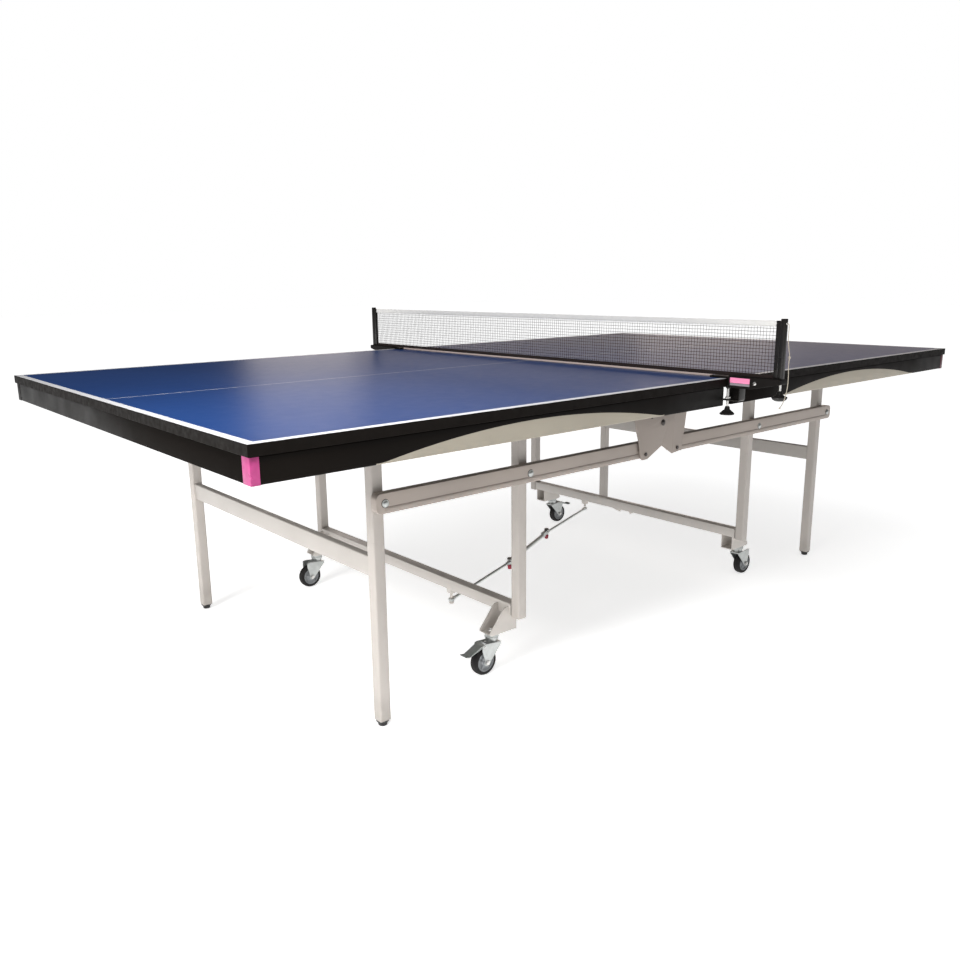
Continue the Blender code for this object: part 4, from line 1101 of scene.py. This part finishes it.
def stitches(name, y0, y1, z, half):
    """A row of lock stitches along both faces of the tape."""
    work = bmesh.new()
    stitch_pitch = 0.006
    count = round((y1 - y0) / stitch_pitch)
    for i in range(count):
        y = y0 + stitch_pitch / 2 + (y1 - y0 - stitch_pitch) * i / (count - 1)
        for s in (-1, 1):
            made = bmesh.ops.create_uvsphere(work, u_segments=6, v_segments=4, radius=1)
            place = Matrix.Translation((s * half + sway_at(y), y, z)) @ Matrix.Diagonal(
                (0.00025, 0.0020, 0.0004, 1))
            bmesh.ops.transform(work, matrix=place, verts=made["verts"])
    return smooth(built(name, work, STITCH), 80)


POST = 0.015
POST_OUTER_Y = 0.915
POST_Y = POST_OUTER_Y - POST / 2
BLOCK_TOP = 0.7685
SCREW_Y = 0.758


def make_post(end, sy):
    """Clamp block with its jaw and label, the post and its hook strip."""
    node = end + "_net_post"
    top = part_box(node)[1].z
    post = prism(node + "_tube", [rounded(POST, POST, 0.0050, (0, sy * POST_Y), 8)],
                 BLOCK_TOP - 0.002, top, "Z", BLACK_METAL, 0.0012, steps=3)
    strip_low, strip_high = POST_OUTER_Y - POST - 0.012, POST_OUTER_Y - POST + 0.002
    strip = prism(node + "_strip", [rounded(0.010, strip_high - strip_low, 0.0022,
                                            (0, sy * (strip_low + strip_high) / 2))],
                  BLOCK_TOP - 0.002, top - 0.005, "Z", BLACK_METAL, 0.0008)
    hooks = [shaft(node + "_hook", (-0.0062, sy * (strip_low + 0.0045), z),
                   (0.0062, sy * (strip_low + 0.0045), z), 0.0016, BLACK_METAL, 0.0005, 16)
             for z in (0.790, 0.815, 0.840, 0.865, 0.890)]
    wedge = [(0.7665, 0.7368), (0.838, 0.7378), (0.917, 0.7550), (0.917, BLOCK_TOP),
             (0.7665, BLOCK_TOP)]
    block = prism(node + "_block", [soft_corners([(sy * y, z) for y, z in wedge], 0.0030, 5)],
                  -0.017, 0.017, "X", CLAMP_BLACK, 0.0016, steps=3)
    jaw = prism(node + "_jaw", [rounded(0.036, 0.062, 0.004, (0, sy * 0.7395))],
                0.7603, 0.7650, "Z", CLAMP_BLACK, 0.0009, steps=3)
    on(merged(node + "_assembly", [post, strip, block, jaw] + hooks), "net_set", "black_metal",
       node)
    make_label(end, sy)
    ring = [(0.0030, 0.0016), (0.0036, 0.0012), (0.0038, 0), (0.0016, 0), (0.0016, 0.0014),
            (0.0022, 0.0018), (0.0030, 0.0016)]
    eyelet = lathe(end + "_cord_eyelet", ring,
                   (0, sy * (POST_OUTER_Y - 0.0002), 0.906), STEEL, (0, sy, 0), 28)
    on(eyelet, "net_set", "chrome")


def make_label(end, sy):
    """Plain two-tone label and a plated rivet on the outer face of the block."""
    face = -1 if end == "near" else 1
    tag = f"{end}_{'left' if face < 0 else 'right'}"
    for part, (height, corner, z), mat, slot in (
            ("_label", (0.0135, 0.0012, 0.7572), PALE_PINK, "pink_print"),
            ("_label_band", (0.0062, 0.0010, 0.7468), GREY_PRINT, "black_plastic")):
        band = prism(tag + part, [rounded(0.058, height, corner, (sy * 0.802, z))],
                     *span(face, 0.0168, 0.01745), "X", mat, 0.0002)
        on(band, "net_set", slot)
    dome = [(0, 0.0022), (0.0030, 0.0020), (0.0046, 0.0012), (0.0052, 0), (0, 0)]
    rivet = lathe(tag + "_rivet", dome, (face * 0.0170, sy * 0.8455, 0.7530), STEEL, (face, 0, 0),
                  28)
    on(rivet, "net_set", "chrome")


def make_clamp_bracket(end, sy):
    """Lower bracket of the clamp, folded from strip, with its threaded bush."""
    node = end + "_clamp_arm"
    low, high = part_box(node)
    fold = [(0.7440, 0.7015), (0.7975, 0.7015), (0.8015, 0.7055), (0.8015, 0.7365),
            (0.7985, 0.7365), (0.7985, 0.7065), (0.7965, 0.7045), (0.7440, 0.7045)]
    bracket = prism(node + "_strap", [soft_corners([(sy * y, z) for y, z in fold], 0.0020, 4)],
                    low.x, high.x, "X", BLACK_METAL, 0.0006)
    bush = hex_nut(node + "_bush", (0, sy * SCREW_Y, 0.7043), (0, 0, 1), 0.0120, 0.0060, STEEL)
    on(merged(node + "_bracket", [bracket, bush]), "net_brackets", "black_metal", node)


def make_clamp_screw(end, sy):
    """Bright threaded rod with a pad on top and a ribbed cone knob below."""
    node = end + "_clamp_screw"
    centre = (0, sy * SCREW_Y, 0)
    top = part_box(node)[1].z
    pad = lathe(node + "_pad", [(0, top), (0.0058, top), (0.0065, top - 0.0006),
                                (0.0065, top - 0.0036), (0.0050, top - 0.0050),
                                (0.0030, top - 0.0060), (0, top - 0.0060)],
                centre, BLACK_PLASTIC, steps=32)
    thread = [(0, top - 0.005)]
    z = top - 0.005
    while z > 0.6845:
        thread += [(0.0030, z), (0.0026, z - 0.0005)]
        z -= 0.0010
    thread += [(0, z)]
    screw = lathe(node + "_thread", thread, centre, STEEL, steps=24, sharp=80)
    knob = [(0, 0.6850), (0.0050, 0.6850), (0.0060, 0.6838), (0.0075, 0.6770), (0.0098, 0.6728),
            (0.0130, 0.6696), (0.0180, 0.6668), (0.0194, 0.6655), (0.0194, 0.6640),
            (0.0180, 0.6627), (0.0120, 0.6625), (0, 0.6625)]
    parts = [pad, screw, lathe(node + "_knob", knob, centre, BLACK_PLASTIC, steps=48)]
    for k in range(12):
        angle = math.tau * k / 12
        way = Vector((math.cos(angle), math.sin(angle), 0))
        foot = Vector(centre) + way * 0.0182 + Vector((0, 0, 0.6664))
        head = Vector(centre) + way * 0.0086 + Vector((0, 0, 0.6748))
        parts.append(shaft(node + "_rib", foot, head, 0.0008, BLACK_PLASTIC, 0.0003, 10))
    on(merged(node + "_assembly", parts), end + "_screw", "black_plastic", node)


def make_height_knob(end, sy):
    """Saucer knob under the post, on a bright shaft."""
    node = end + "_height_knob"
    y = sy * POST_Y
    screw = shaft(node + "_shaft", (0, y, 0.736), (0, y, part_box(node)[1].z), 0.0030, STEEL)
    profile = [(0, 0.7380), (0.0056, 0.7380), (0.0066, 0.7368), (0.0072, 0.7320), (0.0092, 0.7282),
               (0.0130, 0.7256), (0.0182, 0.7240), (0.0194, 0.7226), (0.0194, 0.7208),
               (0.0180, 0.7178), (0.0150, 0.7150), (0.0105, 0.7130), (0.0050, 0.7122), (0, 0.7121)]
    parts = [screw, lathe(node + "_dish", profile, (0, y, 0), BLACK_PLASTIC, steps=48)]
    on(merged(node + "_assembly", parts), end + "_knob", "black_plastic", node)


# ---- build --------------------------------------------------------------
for side, sx in SIDES:
    make_board(side, sx)
    make_end_skirt(side, sx)
    make_stay_rod(side, sx)
    for end, sy in ENDS:
        make_side_skirt(side, sx, end, sy)
        make_rail(side, end, sy)
        make_caster(side, sx, end)
make_frame()
make_stay_bar()
make_netting()
for end, sy in ENDS:
    make_left_plate(end, sy)
    make_right_plate(end, sy)
    make_post(end, sy)
    make_clamp_bracket(end, sy)
    make_clamp_screw(end, sy)
    make_height_knob(end, sy)


# ---- stage and light ----------------------------------------------------
def make_stage():
    """A wide pale floor."""
    work = bmesh.new()
    bmesh.ops.create_grid(work, x_segments=1, y_segments=1, size=30)
    built("floor", work, FLOOR)


def area_light(name, place, aim, size, power, color=(1, 1, 1), gloss_only=False):
    """A soft rectangle of light aimed at a point, seen by gloss only or by all but gloss."""
    light = bpy.data.lights.new(name, "AREA")
    light.shape = "RECTANGLE"
    light.size, light.size_y = size
    light.energy = power
    light.color = color
    obj = add_object(name, light)
    obj.location = place
    obj.rotation_euler = (Vector(aim) - Vector(place)).to_track_quat("-Z", "Y").to_euler()
    obj.visible_camera = False
    if gloss_only:
        obj.visible_diffuse = False
    else:
        obj.visible_glossy = False
    return obj


WORLD_DIFFUSE, WORLD_GLOSSY = 0.31, 0.05


def make_light():
    """White surroundings for the camera, a soft light all round and a key from the left."""
    world = bpy.data.worlds.new("world")
    bpy.context.scene.world = world
    world.use_nodes = True
    tree = world.node_tree
    back = tree.nodes["Background"]
    back.inputs["Color"].default_value = (1, 1, 1, 1)
    path = tree.nodes.new("ShaderNodeLightPath")
    level = WORLD_DIFFUSE
    for output, value in (("Is Glossy Ray", WORLD_GLOSSY), ("Is Camera Ray", 1.0)):
        pick = tree.nodes.new("ShaderNodeMix")
        tree.links.new(path.outputs[output], pick.inputs["Factor"])
        if isinstance(level, float):
            pick.inputs["A"].default_value = level
        else:
            tree.links.new(level, pick.inputs["A"])
        pick.inputs["B"].default_value = value
        level = pick.outputs[0]
    tree.links.new(level, back.inputs["Strength"])
    area_light("key", (-4.0, -0.95, 2.1), (-1.0, -0.4, 0.5), (1.2, 1.2), 92, (1.0, 0.99, 0.97))
    area_light("top", (-1.2, 0.0, 4.2), (-0.6, 0, 0), (4.0, 3.0), 30)
    corner = area_light("corner", (-1.7, -1.3, 2.3), (-1.15, -0.45, 0.76), (0.5, 0.5), 8)
    corner.data.spread = math.radians(70)
    area_light("sheen_wide", (4.2, 4.6, 1.3), (0, 0, 0.76), (5.5, 1.6), 36, (1.0, 0.87, 0.78), True)
    area_light("sheen_right", (6.0, 2.4, 1.3), (0.8, 0, 0.76), (3.2, 1.6), 18,
               (1.0, 0.85, 0.75), True)
    area_light("sheen_spot", (1.9, 5.0, 1.25), (-0.6, 0.5, 0.76), (1.0, 0.8), 5,
               (1.0, 0.92, 0.88), True)
    area_light("gleam", (-4.5, -2.2, 2.4), (-0.5, -0.3, 0.5), (1.6, 1.2), 4, gloss_only=True)
    bpy.context.scene.view_settings.view_transform = "Standard"


make_stage()
make_light()
